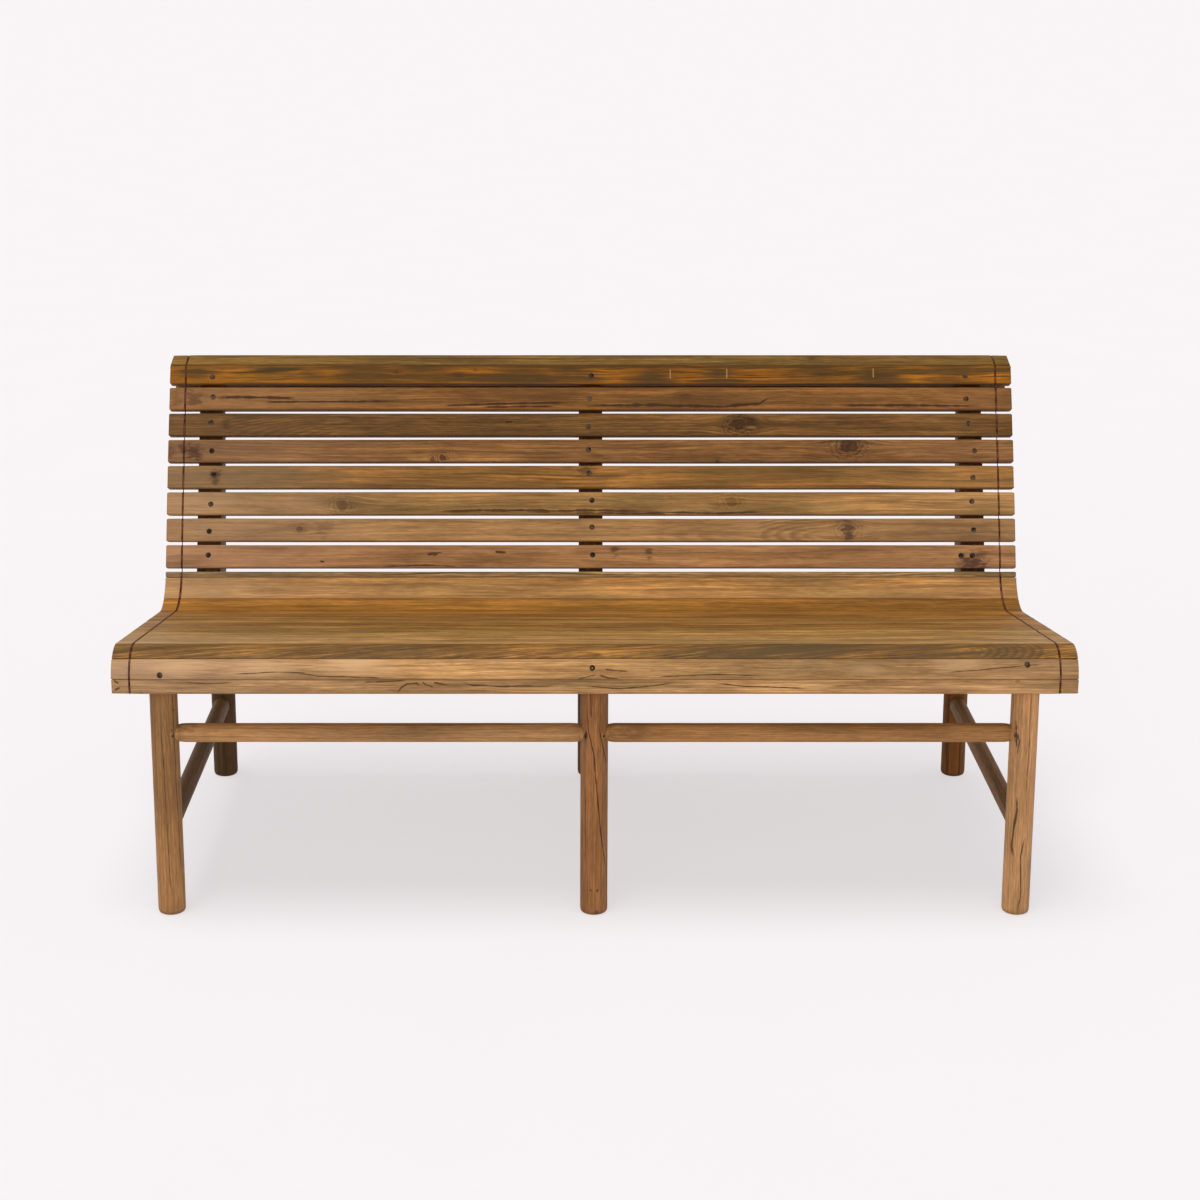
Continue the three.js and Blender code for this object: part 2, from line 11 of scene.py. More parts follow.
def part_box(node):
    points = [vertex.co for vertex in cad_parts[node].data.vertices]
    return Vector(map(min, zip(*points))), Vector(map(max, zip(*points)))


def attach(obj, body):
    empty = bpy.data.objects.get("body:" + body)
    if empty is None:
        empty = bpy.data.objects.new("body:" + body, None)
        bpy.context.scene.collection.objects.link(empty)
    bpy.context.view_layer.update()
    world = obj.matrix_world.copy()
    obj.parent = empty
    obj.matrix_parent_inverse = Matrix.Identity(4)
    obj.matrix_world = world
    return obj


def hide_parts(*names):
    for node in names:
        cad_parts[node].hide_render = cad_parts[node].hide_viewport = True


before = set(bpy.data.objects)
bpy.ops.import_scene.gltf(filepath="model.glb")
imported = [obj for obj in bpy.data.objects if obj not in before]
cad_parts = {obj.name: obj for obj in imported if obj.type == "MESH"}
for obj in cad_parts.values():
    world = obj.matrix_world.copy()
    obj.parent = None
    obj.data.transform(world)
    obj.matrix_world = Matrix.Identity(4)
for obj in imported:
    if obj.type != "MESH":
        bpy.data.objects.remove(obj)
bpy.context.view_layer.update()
MM = 0.001

SIDES = ("left", "centre", "right")
CLOSED_STRIPS = (
    ["apron_strip_lower", "apron_strip_upper", "nosing_strip"]
    + [f"seat_strip_{i}" for i in range(1, 11)]
    + ["bend_strip_1", "bend_strip_2", "closing_strip"]
)
SLATS = [f"back_slat_{i}" for i in range(8, 0, -1)]
CHAIN = CLOSED_STRIPS + SLATS + ["top_cap_strip"]
REAR_STRIP = "rear_top_strip"
# In (y, z): up the rear top strip, and out of its rear face
REAR_STRIP_RUN = (-0.24, 0.97)
REAR_STRIP_FACE = (1, 0.24)

# The inlay wire and the saw groove it lies in, as in the CAD. A step is (millimetres from the
# groove's middle, share of its depth), and painted shade darkens the wood this far from the middle.
GROOVE_X = sum(v.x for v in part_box("inlay_wire_right")) / 2
GROOVE_DEPTH = 3.2 * MM
GROOVE_STEPS = ((-2.4, 0), (-1.6, 0), (-1.25, 0.75), (-0.8, 1), (0.8, 1), (1.25, 0.75), (1.6, 0), (2.4, 0))
GROOVE_CLEAR = 3.2 * MM
# Painted shade beside the wire: how far it reaches, and how dark it is on the apron and back and on the seat
GROOVE_SHADE_REACH = 1.7 * MM
GROOVE_SHADE = 0.7
SEAT_GROOVE_SHADE = 2.2
WIRE_RADIUS = 0.85 * MM
WIRE_DEPTH = 1.1 * MM
WIRE_SIDES = 10
WIRE_GAP = 4 * MM
WIRE_DIP = 1.3 * MM
WIRE_PITCH = 1.6 * MM
WIRE_SWAY = 0.4 * MM
WIRE_LIFT = 0.25 * MM

SKY_LOW = (0.95, 0.92, 0.93, 1)
SKY_HIGH = (0.42, 0.41, 0.415, 1)
SKY_FADE = (0.25, 0.6)
FLOOR_HALF = 60
FLOOR_GLOW = (0.6, 0.58, 0.59, 1)
FLOOR_LIGHT = (0.28, 0.27, 0.272, 1)
FLOOR_DARK = (0.268, 0.258, 0.26, 1)

# A gain on each channel that keeps the teak at its base colour in this studio's light
LIGHT_GAIN = (1.16, 1.22, 1.17)
# Where the weathered ends begin and fade, along X in metres
LEFT_END = (-0.75, -0.25)
RIGHT_END = (0.4, 0.75)

# Strips: the longest span in a section, the pitch along X, and how the edges and ends are worn and darkened
# with painted shade
MAX_SPAN = 7 * MM
STATION_PITCH = 24 * MM
CORNER_STEPS = 4
CORNER_ANGLE = math.radians(20)
CORNER_FADE = 2.6 * MM
# The slats' upper edges keep this share of the edge darkening, so their lower edges carry more painted shade
UPPER_EDGE_WEAR_AND_SHADE = 0.4
END_TRIM = 1.1 * MM
SLAT_FLAT = 14 * MM
SLAT_WAVE = 0.45 * MM
SURFACE_INSET = 0.12 * MM
CLOSED_RADII = (0.9 * MM, 1.0 * MM)
SLAT_RADII = (2.0 * MM, 1.6 * MM)
CLOSED_EASE = 1.6 * MM
SLAT_EASE = 2.2 * MM
RIB_BEVEL = 1.5 * MM
OPEN_JOINT = 0.7 * MM
OPEN_JOINT_LENGTH = 34 * MM
SHARP_ANGLE = math.radians(38)
SHORT_EDGE = 6 * MM
STRAIGHT = 0.004
WELD = 1e-5

# (height, inset, edge wear) in millimetres at a leg's worn foot
LEG_FOOT = ((0, 5.0, 0.4), (0.5, 3.2, 0.9), (1.7, 1.4, 1.0), (4.5, 0.3, 0.8))
LEG_SIDES = 40
RAIL_SIDES = 32
LEG_RADIUS = 22.2 * MM
LEG_TENON_RADIUS = 12 * MM
LEG_TENON_LENGTH = 23 * MM
LEG_UNEVENNESS = 0.35 * MM
RAIL_RADIUS = 15.3 * MM
RAIL_SHOULDER = 15.5 * MM
RAIL_EASE = 13 * MM
RAIL_EASE_DEPTH = 1.3 * MM
RAIL_TENON_RADIUS = 13.3 * MM
RAIL_TENON_TIP = 12.9 * MM
RAIL_UNEVENNESS = 0.3 * MM

# (along, radius, edge wear) in millimetres, from the middle of the shallow cross recess outwards
SCREW_HEAD = [
    (-0.38, 1.0, 0), (-0.36, 1.4, 0), (-0.26, 1.7, 0), (-0.16, 2.3, 0.4), (-0.12, 3.1, 0.2),
    (-0.2, 3.6, 1), (-0.36, 3.9, 0.5), (-0.46, 4.2, 0.5), (-3.0, 3.4, 0),
]
SCREW_SIZE = 1.14
SCREW_LIFT = 0.55 * MM
SCREW_RECESS = 0.45
SCREW_SIDES = 24
# The CAD screw: from its far ends to where its tail and its head are
TAIL_REACH = 4.5 * MM
HEAD_REACH = 7.2 * MM
HEAD_START = 34.5 * MM
PIN_START_RADIUS = 1.6 * MM
PIN_RADIUS = 2.1 * MM
PIN_END_RADIUS = 1.5 * MM
PIN_SIDES = 16


# ---- node trees


class Value:
    """A shader value that arithmetic and short calls build nodes on."""

    def __init__(self, tree, socket):
        self.tree = tree
        self.socket = socket

    def maths(self, operation, *others):
        kind = "ShaderNodeVectorMath" if self.socket.type == "VECTOR" else "ShaderNodeMath"
        return self.tree.value(kind, [self, *others], operation=operation)

    def __add__(self, other):
        return self.maths("ADD", other)

    def __sub__(self, other):
        return self.maths("SUBTRACT", other)

    def __mul__(self, other):
        return self.maths("MULTIPLY", other)

    def __truediv__(self, other):
        return self.maths("DIVIDE", other)

    def __abs__(self):
        return self.maths("ABSOLUTE")

    def length(self):
        return self.tree.value("ShaderNodeVectorMath", [self], "Value", operation="LENGTH")

    def noise(self, stretch, detail=2.0, roughness=0.5):
        """Noise at this place, as fine along each axis as stretch says."""
        inputs = {"Vector": self * stretch, "Scale": 1.0, "Detail": detail, "Roughness": roughness}
        return self.tree.value("ShaderNodeTexNoise", inputs, "Fac")

    def span(self, low, high, to_low=0.0, to_high=1.0, shape="SMOOTHSTEP"):
        """This value mapped from low..high to to_low..to_high, and held beyond them."""
        inputs = [self, low, high, to_low, to_high]
        return self.tree.value("ShaderNodeMapRange", inputs, interpolation_type=shape)


class Tree:
    """The shader nodes of a material or a world, whose inputs take values, numbers or tuples."""

    def __init__(self, owner):
        owner.use_nodes = True
        self.owner = owner
        self.nodes = owner.node_tree.nodes
        self.links = owner.node_tree.links
        self.nodes.clear()

    def node(self, kind, inputs=(), **settings):
        """A new node whose inputs are given in order, or by name or number."""
        made = self.nodes.new(kind)
        for key, value in settings.items():
            setattr(made, key, value)
        for place, value in (inputs if isinstance(inputs, dict) else dict(enumerate(inputs))).items():
            if isinstance(value, Value):
                self.links.new(value.socket, made.inputs[place])
            else:
                made.inputs[place].default_value = value
        return made

    def value(self, kind, inputs=(), output=0, **settings):
        return Value(self, self.node(kind, inputs, **settings).outputs[output])

    def vector(self, *values):
        return self.value("ShaderNodeCombineXYZ", values)

    def parts(self, vector):
        return [Value(self, part) for part in self.node("ShaderNodeSeparateXYZ", [vector]).outputs]

    def mix(self, factor, first, second, blend="MIX"):
        inputs = {0: factor, 6: first, 7: second}
        return self.value("ShaderNodeMix", inputs, 2, data_type="RGBA", blend_type=blend)

    def surface(self, colour, roughness, height, metallic=0.0, depth=0.0004, strength=0.5):
        """The owner, with this surface."""
        bump = {"Strength": strength, "Distance": depth, "Height": height}
        shader = self.value("ShaderNodeBsdfPrincipled", {
            "Base Color": colour, "Roughness": roughness, "Metallic": metallic,
            "Specular IOR Level": 0.12, "Normal": self.value("ShaderNodeBump", bump),
        })
        return self.finish(shader)

    def finish(self, shader, output="ShaderNodeOutputMaterial"):
        self.node(output, {"Surface": shader})
        return self.owner


def srgb(red, green, blue):
    """A colour from 0 to 255 per channel, as linear RGBA."""
    linear = []
    for value in (red, green, blue):
        v = value / 255
        linear.append(v / 12.92 if v <= 0.04045 else ((v + 0.055) / 1.055) ** 2.4)
    return (*linear, 1.0)


def tinted(colour, red, green, blue):
    """An RGBA colour with a gain on each channel."""
    return (colour[0] * red, colour[1] * green, colour[2] * blue, 1.0)


# ---- camera, light, floor


def placed(name, data):
    """A new object in the scene."""
    made = bpy.data.objects.new(name, data)
    bpy.context.scene.collection.objects.link(made)
    return made


def make_camera():
    data = bpy.data.cameras.new("camera")
    data.sensor_width = 36
    data.lens = 68.85
    data.shift_x = 0.0317
    data.shift_y = -0.12
    data.clip_end = 200
    camera = placed("camera", data)
    camera.location = (-0.051, -3.726, 1.556)
    camera.rotation_euler = (math.radians(90 - 13.25), 0, 0)
    bpy.context.scene.camera = camera


def sun(name, direction, spread, strength):
    data = bpy.data.lights.new(name, "SUN")
    data.angle = math.radians(spread)
    data.energy = strength
    light = placed(name, data)
    light.rotation_euler = Vector(direction).to_track_quat("-Z", "Y").to_euler()


def make_lights():
    """A sky that is white low down, a soft overhead lamp and a softer front one."""
    tree = Tree(bpy.data.worlds.new("studio"))
    height = tree.parts(tree.value("ShaderNodeTexCoord", output="Generated"))[2]
    sky = tree.value("ShaderNodeBackground", [tree.mix(height.span(*SKY_FADE), SKY_LOW, SKY_HIGH)])
    bpy.context.scene.world = tree.finish(sky, "ShaderNodeOutputWorld")
    bpy.context.scene.view_settings.view_transform = "Standard"
    sun("overhead", (0.1, 0.12, -1), 34, 2.1)
    sun("front", (0.25, 1.0, -0.4), 60, 0.8)


def make_floor():
    """Lit white paper that takes the bench's soft shadow."""
    mesh = bpy.data.meshes.new("floor")
    signs = ((-1, -1), (1, -1), (1, 1), (-1, 1))
    mesh.from_pydata([(i * FLOOR_HALF, j * FLOOR_HALF, 0) for i, j in signs], [], [(0, 1, 2, 3)])
    floor = placed("floor", mesh)
    tree = Tree(bpy.data.materials.new("floor_paper"))
    cloud = tree.value("ShaderNodeNewGeometry", output="Position").noise((3, 3, 3), 3)
    paper = tree.value("ShaderNodeBsdfDiffuse", [tree.mix(cloud, FLOOR_DARK, FLOOR_LIGHT)])
    glow = tree.value("ShaderNodeEmission", [FLOOR_GLOW])
    mesh.materials.append(tree.finish(tree.value("ShaderNodeAddShader", [paper, glow])))


# ---- teak


def strongest(masks):
    """The largest of some masks at each point."""
    top = masks[0]
    for mask in masks[1:]:
        top = top.maths("MAXIMUM", mask)
    return top


def patches(grain, fray, flatness, places):
    """Soft patches at (x, s), in millimetres: size long, and size / flatness across."""
    masks = []
    for x, s, size, strength in places:
        away = grain - (x * MM, s * MM, 0.0)
        near = (away * (1 / (size * MM), flatness / (size * MM), 0)).length()
        masks.append((near + fray).span(0.2, 1.0, strength, 0.0))
    return strongest(masks)


def line(along, across, moved, width, wave, points):
    """A dark line through (along, across) points, in millimetres, that thins out at both ends."""
    points = sorted(points)
    path = (moved.noise((14, 0, 0), 4, 0.6) - 0.5) * (wave * MM) + points[0][1] * MM
    for (x0, s0), (x1, s1) in zip(points, points[1:]):
        path = path + along.span(x0 * MM, x1 * MM, 0.0, (s1 - s0) * MM, "LINEAR")
    away = abs(across - path) / moved.noise((40, 0, 0), 2).span(0.3, 0.7, 0.5, 1.5)
    middle = (points[0][0] + points[-1][0]) / 2 * MM
    half = (points[-1][0] - points[0][0]) / 2 * MM
    fade = abs(along - middle).span(half * 0.7, half, 1.0, 0.0)
    return away.span(width * 0.25 * MM, width * MM, 1.0, 0.0) * fade


def tick(along, across, moved, x, s, length):
    """A thin light scratch straight across the strip."""
    place = (moved.noise((0, 90, 0), 2) - 0.5) * (3 * MM) + x * MM
    within = abs(across - s * MM).span(length * 0.4 * MM, length * 0.5 * MM, 1.0, 0.0)
    return abs(along - place).span(0.3 * MM, 1.0 * MM, 0.75, 0.0) * within


def knot(along, flow, speck, x, s, radius, strength):
    """One knot: how far it draws the fibres round itself, the fibres' new flow, and its dark eye."""
    centred = along.tree.vector(along, flow, 0.0) - (x * MM, s * MM, 0.0)
    reach = (centred * (1 / (7 * radius * MM), 1 / (2.6 * radius * MM), 0)).length()
    pull = reach.span(0.0, 1.0, 0.85, 0.0)
    flow = flow - (flow - s * MM) * pull
    close = (centred * (1 / (1.25 * radius * MM), 1 / (radius * MM), 0)).length()
    close = close - 0.85 + speck * 1.7
    waves = (close * 11.0).maths("SINE")
    core = close.span(0.6, 1.1, strength, 0.0) * waves.span(-1, 1, 0.75, 1.0)
    halo = close.span(0.9, 3.0, strength * 0.8, 0.0) * waves.span(0.0, 0.9)
    return pull, flow, strongest([core, halo])


def growth_rings(moved, fibres, depth, flow, pith, drift, ring_pitch, fray):
    """Late wood: the cut passes the pith at a height that changes slowly along the strip."""
    below = (moved.noise((1.7, 0, 0), 3) - 0.5) * (drift * 2 * MM) + pith[1] * MM + depth
    radius = moved.tree.vector(below, flow - pith[0] * MM, 0.0).length()
    turns = radius / (ring_pitch * MM) + fibres.noise((9, 240, 240), 4, 0.7) * fray
    turns = turns.maths("FRACT")
    return turns.span(0.4, 0.88) * turns.span(0.9, 0.97, 1.0, 0.0)


def arches(along, flow, ragged, x, s, stretch, pitch, reach, strength):
    """Nested arcs from x over a signed reach, as where the saw leaves a growth ring."""
    past = (along - x * MM) * math.copysign(1.0, reach)
    radius = along.tree.vector(past / stretch, flow - s * MM, 0.0).length()
    turns = (radius / (pitch * MM) + ragged * 0.4).maths("FRACT")
    arcs = turns.span(0.1, 0.6) * turns.span(0.75, 0.98, 1.0, 0.0)
    length = abs(reach) * MM
    fade = past.span(length * 0.9, length, 1.0, 0.0)
    return arcs * past.span(length * 0.15, length * 0.5, 0.0, strength) * fade


def thin_veins(moved, fibres):
    """Fine dark lines that wander along the fibres, where two levels of a noise meet."""
    wide = abs(fibres.noise((2.2, 60, 45), 3, 0.55) - 0.5).span(0.015, 0.05, 1.0, 0.0)
    narrow = abs(fibres.noise((3.6, 150, 110), 3, 0.55) - 0.5).span(0.03, 0.1, 1.0, 0.0)
    return strongest([wide, narrow]) * moved.noise((7, 50, 50), 2).span(0.4, 0.6)


TEAK_NUMBERS = itertools.count()


def teak(
    name, base, warm=0.06, contrast=1.0, fine=1.0, streaks=0.4, streak_tint=None, rings=0.4, ring_pitch=7.0,
    fray=0.28, veins=0.5, pith=(6.0, 30.0), drift=26.0, lean=0.0, tilt=0.0, ends=0.5, skew=0.0,
    knots=(), stains=(), lines=(), blooms_and_sheen=(), shades=(), ticks=(), arcs=(),
):
    """Oiled teak. The grain attribute holds (along, across, depth) in metres on each piece.

    base: sRGB colour. pith: where the growth rings' centre is, (across, below), in millimetres.
    contrast: of the broad bands. fine: of the fibres. tilt: how much lighter the right end is.
    knots, stains, light blooms (pale wood, on the upper apron also painted sheen) and dark flames (shades):
    (along, across, size, strength).
    lines: dark cracks or figure lines, (width, wave, points). ticks: (along, across, length).
    arcs: (along, across, stretch, pitch, reach, strength). skew: how fast the fibres rise to +X.
    lean: above 0 the upper side is more streaked, below 0 the lower side.
    """
    tree = Tree(bpy.data.materials.new(name))
    seed = 3.7 + 5.3 * next(TEAK_NUMBERS)
    colour = tinted(srgb(*base), *LIGHT_GAIN)
    grain = tree.value("ShaderNodeAttribute", output="Vector", attribute_name="grain")
    edge = tree.value("ShaderNodeAttribute", output="Fac", attribute_name="edge")
    along, across, depth = tree.parts(grain)
    moved = grain + (seed, seed * 0.37, seed * 0.71)

    def under(mask, paint, red, green, blue):
        """The paint, with a darker or lighter tone of the same teak where the mask is."""
        return tree.mix(mask, paint, tinted(colour, red, green, blue))

    # Slow wander of the fibres, and their flow round each knot
    level = across + (moved.noise((2.2, 9, 9), 2) - 0.5) * 0.022
    level = level + (moved.noise((11, 40, 40), 2) - 0.5) * 0.003
    flow = level - along * skew
    speck = moved.noise((60, 160, 160), 3, 0.6)
    pulls, eyes = [], []
    for place in knots:
        pull, flow, eye = knot(along, flow, speck, *place)
        pulls.append(pull)
        eyes.append(eye)
    fibres = tree.vector(along + seed, flow + seed * 0.37, depth)

    # Broad colour bands, dark mineral streaks, growth rings, veins, fine fibres, flecks and pores
    late = growth_rings(moved, fibres, depth, flow, pith, drift, ring_pitch, fray)
    thin = thin_veins(moved, fibres)
    band = fibres.noise((1.7, 45, 34), 3, 0.55).span(0.42, 0.58, 0.0, 0.5)
    band = band + moved.noise((3.2, 12, 12), 3).span(0.35, 0.65, 0.0, 0.5)
    smear = fibres.noise((2.4, 120, 80), 5, 0.6) + across * (lean * 6.0)
    streak = smear.span(0.62 - 0.15 * streaks, 0.66 - 0.14 * streaks)
    hair = fibres.noise((3.2, 330, 330), 4, 0.7)
    fleck = fibres.noise((42, 430, 430), 3, 0.6)
    thread = fibres.noise((26, 900, 900), 3, 0.6)
    pore = fibres.noise((60, 1500, 1500), 2).span(0.6, 0.72)
    cloud = moved.noise((5, 14, 14), 4, 0.6)

    dark = streak_tint or tinted(colour, 0.42, 0.42, 0.32)
    low = tinted(colour, 1 - 0.3 * contrast, 1 - 0.27 * contrast, 1 - 0.3 * contrast)
    high = tinted(colour, 1 + (0.16 + warm) * contrast, 1 + 0.16 * contrast, 1 - (warm - 0.1) * contrast)
    paint = tree.mix(band, low, high)
    if pulls:
        rings = strongest(pulls) * 0.7 + rings
    paint = under(late * rings, paint, 0.48, 0.42, 0.33)
    paint = under(thin * veins, paint, 0.44, 0.36, 0.26)
    paint = tree.mix(streak * min(0.95, 0.35 + streaks), paint, dark)
    for place in arcs:
        paint = under(arches(along, level, speck, *place), paint, 0.4, 0.38, 0.34)
    tone = hair.span(0.38, 0.62, 1 - 0.34 * fine, 1 + 0.34 * fine)
    for value, swing in ((fleck, 0.3 * fine), (thread, 0.12), (cloud, 0.18)):
        tone = tone * value.span(0.3, 0.7, 1 - swing, 1 + swing)
    tone = tone * (pore * -0.35 + 1.0) * along.span(-0.7, 0.7, 1 - tilt, 1 + tilt, "LINEAR")
    paint = tree.mix(1.0, paint, tree.vector(tone, tone, tone), "MULTIPLY")

    # The ends are weathered, the left one more
    far = strongest([along.span(*LEFT_END, ends, 0.0), along.span(*RIGHT_END, 0.0, ends * 0.3)])
    paint = under(far * cloud.span(0.25, 0.6, 0.5, 1.0), paint, 1.0, 1.2, 2.0)

    # Knots, light and dark patches, stains, cracks and scratches at their own places
    if eyes:
        paint = under(strongest(eyes), paint, 0.17, 0.13, 0.12)
    # Light blooms: pale wood, and on the upper apron partly painted sheen
    if blooms_and_sheen:
        paint = under(patches(grain, (hair - 0.5) * 3.4, 3.5, blooms_and_sheen), paint, 1.35, 1.5, 1.8)
    if shades:
        paint = tree.mix(patches(grain, (smear - 0.5) * 5.0, 3.0, shades), paint, dark)
    if stains:
        frayed = (cloud - 0.5) * 1.4 + (speck - 0.5) * 2.4
        paint = under(patches(grain, frayed, 1.2, stains), paint, 0.22, 0.2, 0.3)
    height = thread - pore * 0.7 + late * 0.35
    if lines:
        cracks = strongest([line(along, across, moved, *shape) for shape in lines])
        paint = under(cracks * 0.92, paint, 0.16, 0.13, 0.12)
        height = height - cracks * 3.0
    if ticks:
        scratches = strongest([tick(along, across, moved, *place) for place in ticks])
        paint = tree.mix(scratches, paint, srgb(190, 146, 102))

    # The edges and ends are darkened: partly wear from handling, partly painted shade on the rounded edges,
    # most on the slats' lower edges, and painted shade beside the wire
    paint = under(edge * cloud.span(0.35, 0.65, 0.35, 0.8), paint, 0.45, 0.4, 0.36)
    return tree.surface(paint, hair * 0.24 + 0.46 + streak * 0.06, height)


def metal(name, light, dark, roughness, metallic):
    """A dulled metal: patches between two colours, fine scratches and an uneven sheen."""
    tree = Tree(bpy.data.materials.new(name))
    place = tree.value("ShaderNodeNewGeometry", output="Position")
    patch = place.noise((90, 90, 90), 4, 0.65).span(0.4, 0.62)
    grit = place.noise((1400, 1400, 1400), 3)
    paint = tree.mix(patch, srgb(*dark), srgb(*light))
    paint = tree.mix(grit.span(0.5, 0.75, 0.0, 0.4), paint, srgb(*dark))
    return tree.surface(paint, patch * -0.16 + roughness, grit, metallic, depth=0.0001, strength=0.4)


# ---- meshes


def wobble(seed, u, v=0.0):
    """Smooth noise from -1 to 1 that is the same on each run."""
    return noise.noise(Vector((u, v, seed)))


def finished(name, points, faces, grain, edge, material, nodes):
    """A piece from its mesh, with the grain's place and the edge darkening (wear and painted shade) at each
    point.
    """
    mesh = bpy.data.meshes.new(name)
    mesh.from_pydata([tuple(p) for p in points], [], faces)
    bm = bmesh.new()
    bm.from_mesh(mesh)
    bmesh.ops.recalc_face_normals(bm, faces=bm.faces)
    bm.to_mesh(mesh)
    bm.free()
    coordinates = mesh.attributes.new("grain", "FLOAT_VECTOR", "POINT")
    coordinates.data.foreach_set("vector", [c for triple in grain for c in triple])
    wear_and_shade = mesh.attributes.new("edge", "FLOAT", "POINT")
    wear_and_shade.data.foreach_set("value", edge)
    mesh.shade_smooth()
    mesh.set_sharp_from_angle(angle=SHARP_ANGLE)
    mesh.materials.append(material)
    piece = placed(name, mesh)
    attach(piece, "root")
    if nodes:
        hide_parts(*nodes)


def ringed_mesh(name, sections, material, nodes):
    """A closed piece through sections (points, grain, edge wear and painted shade), with a fan at each end.
    """
    count = len(sections[0][0])
    points, grain, edge = [], [], []
    for ring, coordinates, wear_and_shade in sections:
        points += ring
        grain += coordinates
        edge += wear_and_shade
    faces = []
    for j in range(len(sections) - 1):
        for i in range(count):
            k = (i + 1) % count
            low, high = j * count, (j + 1) * count
            faces.append((low + i, low + k, high + k, high + i))
    for j, way in ((0, -1), (len(sections) - 1, 1)):
        ring, coordinates, _ = sections[j]
        hub = len(points)
        points.append(tuple(sum((Vector(p) for p in ring), Vector()) / count))
        grain.append(tuple(sum(c[a] for c in coordinates) / count for a in range(3)))
        edge.append(0.0)
        for i in range(count):
            pair = (j * count + i, j * count + (i + 1) % count)
            faces.append((*pair[::way], hub))
    finished(name, points, faces, grain, edge, material, nodes)


# ---- strips


def end_outline(node):
    """The node's section at its right-hand end: (y, z) points, anticlockwise seen from +X."""
    bm = bmesh.new()
    bm.from_mesh(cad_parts[node].data)
    bmesh.ops.remove_doubles(bm, verts=bm.verts, dist=WELD)
    end = max(v.co.x for v in bm.verts)
    caps = [f for f in bm.faces if all(end - v.co.x < WELD for v in f.verts)]
    following = {}
    for face in caps:
        for loop in face.loops:
            if not any(f in caps for f in loop.edge.link_faces if f is not face):
                following[loop.vert] = loop.link_loop_next.vert
    start = min(following, key=lambda v: (v.co.y, v.co.z))
    ring, vert = [start], following[start]
    while vert is not start:
        ring.append(vert)
        vert = following[vert]
    points = [Vector((v.co.y, v.co.z)) for v in ring]
    bm.free()
    kept = []
    for before, point, after in zip(points[-1:] + points, points, points[1:] + points[:1]):
        a, b = (point - before).normalized(), (after - point).normalized()
        if abs(a.x * b.y - a.y * b.x) > STRAIGHT:
            kept.append(point)
    if sum(a.x * b.y - a.y * b.x for a, b in zip(kept, kept[1:] + kept[:1])) < 0:
        kept.reverse()
    return kept


def eased(points, radius_of):
    """The outline with rounded corners and no long spans, as (point, edge wear and painted shade) pairs."""
    softened = []
    count = len(points)
    for i, point in enumerate(points):
        before, after = points[i - 1] - point, points[(i + 1) % count] - point
        if math.pi - before.angle(after) < CORNER_ANGLE:
            softened.append((point, 0.0))
            continue
        radius = min(radius_of(point), 0.4 * before.length, 0.4 * after.length)
        u, v = before.normalized(), after.normalized()
        if before.length > 3 * (radius + CORNER_FADE):
            softened.append((point + u * (radius + CORNER_FADE), 0.0))
        for k in range(CORNER_STEPS + 1):
            t = k / CORNER_STEPS
            place = (point + u * radius) * (1 - t) ** 2 + point * 2 * t * (1 - t)
            softened.append((place + (point + v * radius) * t * t, 1.0 if 0 < k < CORNER_STEPS else 0.6))
        if after.length > 3 * (radius + CORNER_FADE):
            softened.append((point + v * (radius + CORNER_FADE), 0.0))
    ring = []
    for (point, wear_and_shade), (after, after_wear_and_shade) in zip(softened, softened[1:] + softened[:1]):
        parts = max(1, math.ceil((after - point).length / MAX_SPAN))
        for k in range(parts):
            t = k / parts
            ring.append((point.lerp(after, t), wear_and_shade + (after_wear_and_shade - wear_and_shade) * t))
    return ring


def outline_normals(ring):
    normals = []
    for i in range(len(ring)):
        step = ring[(i + 1) % len(ring)][0] - ring[i - 1][0]
        normals.append(Vector((step.y, -step.x)).normalized())
    return normals


def stations(low, high, ease, grooved):
    """(x, ease share, groove share) along a strip from low to high."""
    rows = [(low, 1.0, 0.0), (low + 0.3 * ease, 0.45, 0.0), (low + ease, 0.0, 0.0)]
    cuts = [-GROOVE_X, GROOVE_X] if grooved else []
    steps = round((high - low) / STATION_PITCH)
    for i in range(1, steps):
        x = low + (high - low) * i / steps
        if all(abs(x - cut) > GROOVE_CLEAR for cut in cuts):
            rows.append((x, 0.0, 0.0))
    for cut in cuts:
        rows += [(cut + step * MM, 0.0, share) for step, share in GROOVE_STEPS]
    rows += [(high - ease, 0.0, 0.0), (high - 0.3 * ease, 0.45, 0.0), (high, 1.0, 0.0)]
    return sorted(rows)


OUTLINES = {node: end_outline(node) for node in CHAIN + [REAR_STRIP]}


def middle_of(node):
    low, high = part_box(node)
    return Vector(((low.y + high.y) / 2, (low.z + high.z) / 2))


def tangent_of(node):
    """The direction of the run of strips at this one, from the apron up to the top."""
    if node == REAR_STRIP:
        return Vector(REAR_STRIP_RUN).normalized()
    if node == "top_cap_strip":
        points = OUTLINES[node]
        ends = max(points, key=lambda p: p.x), min(points, key=lambda p: p.x)
        return (ends[0] - ends[1]).normalized()
    if node in ("apron_strip_lower", "apron_strip_upper"):
        return Vector((0, 1))
    i = CHAIN.index(node)
    after = CHAIN[i + 1] if node != "back_slat_1" else node
    return (middle_of(after) - middle_of(CHAIN[i - 1])).normalized()


def facing_of(node):
    """The direction that the strip's outer face looks in."""
    tangent = tangent_of(node)
    normal = Vector((-tangent.y, tangent.x))
    return -normal if node == REAR_STRIP else normal


SURFACES = {}


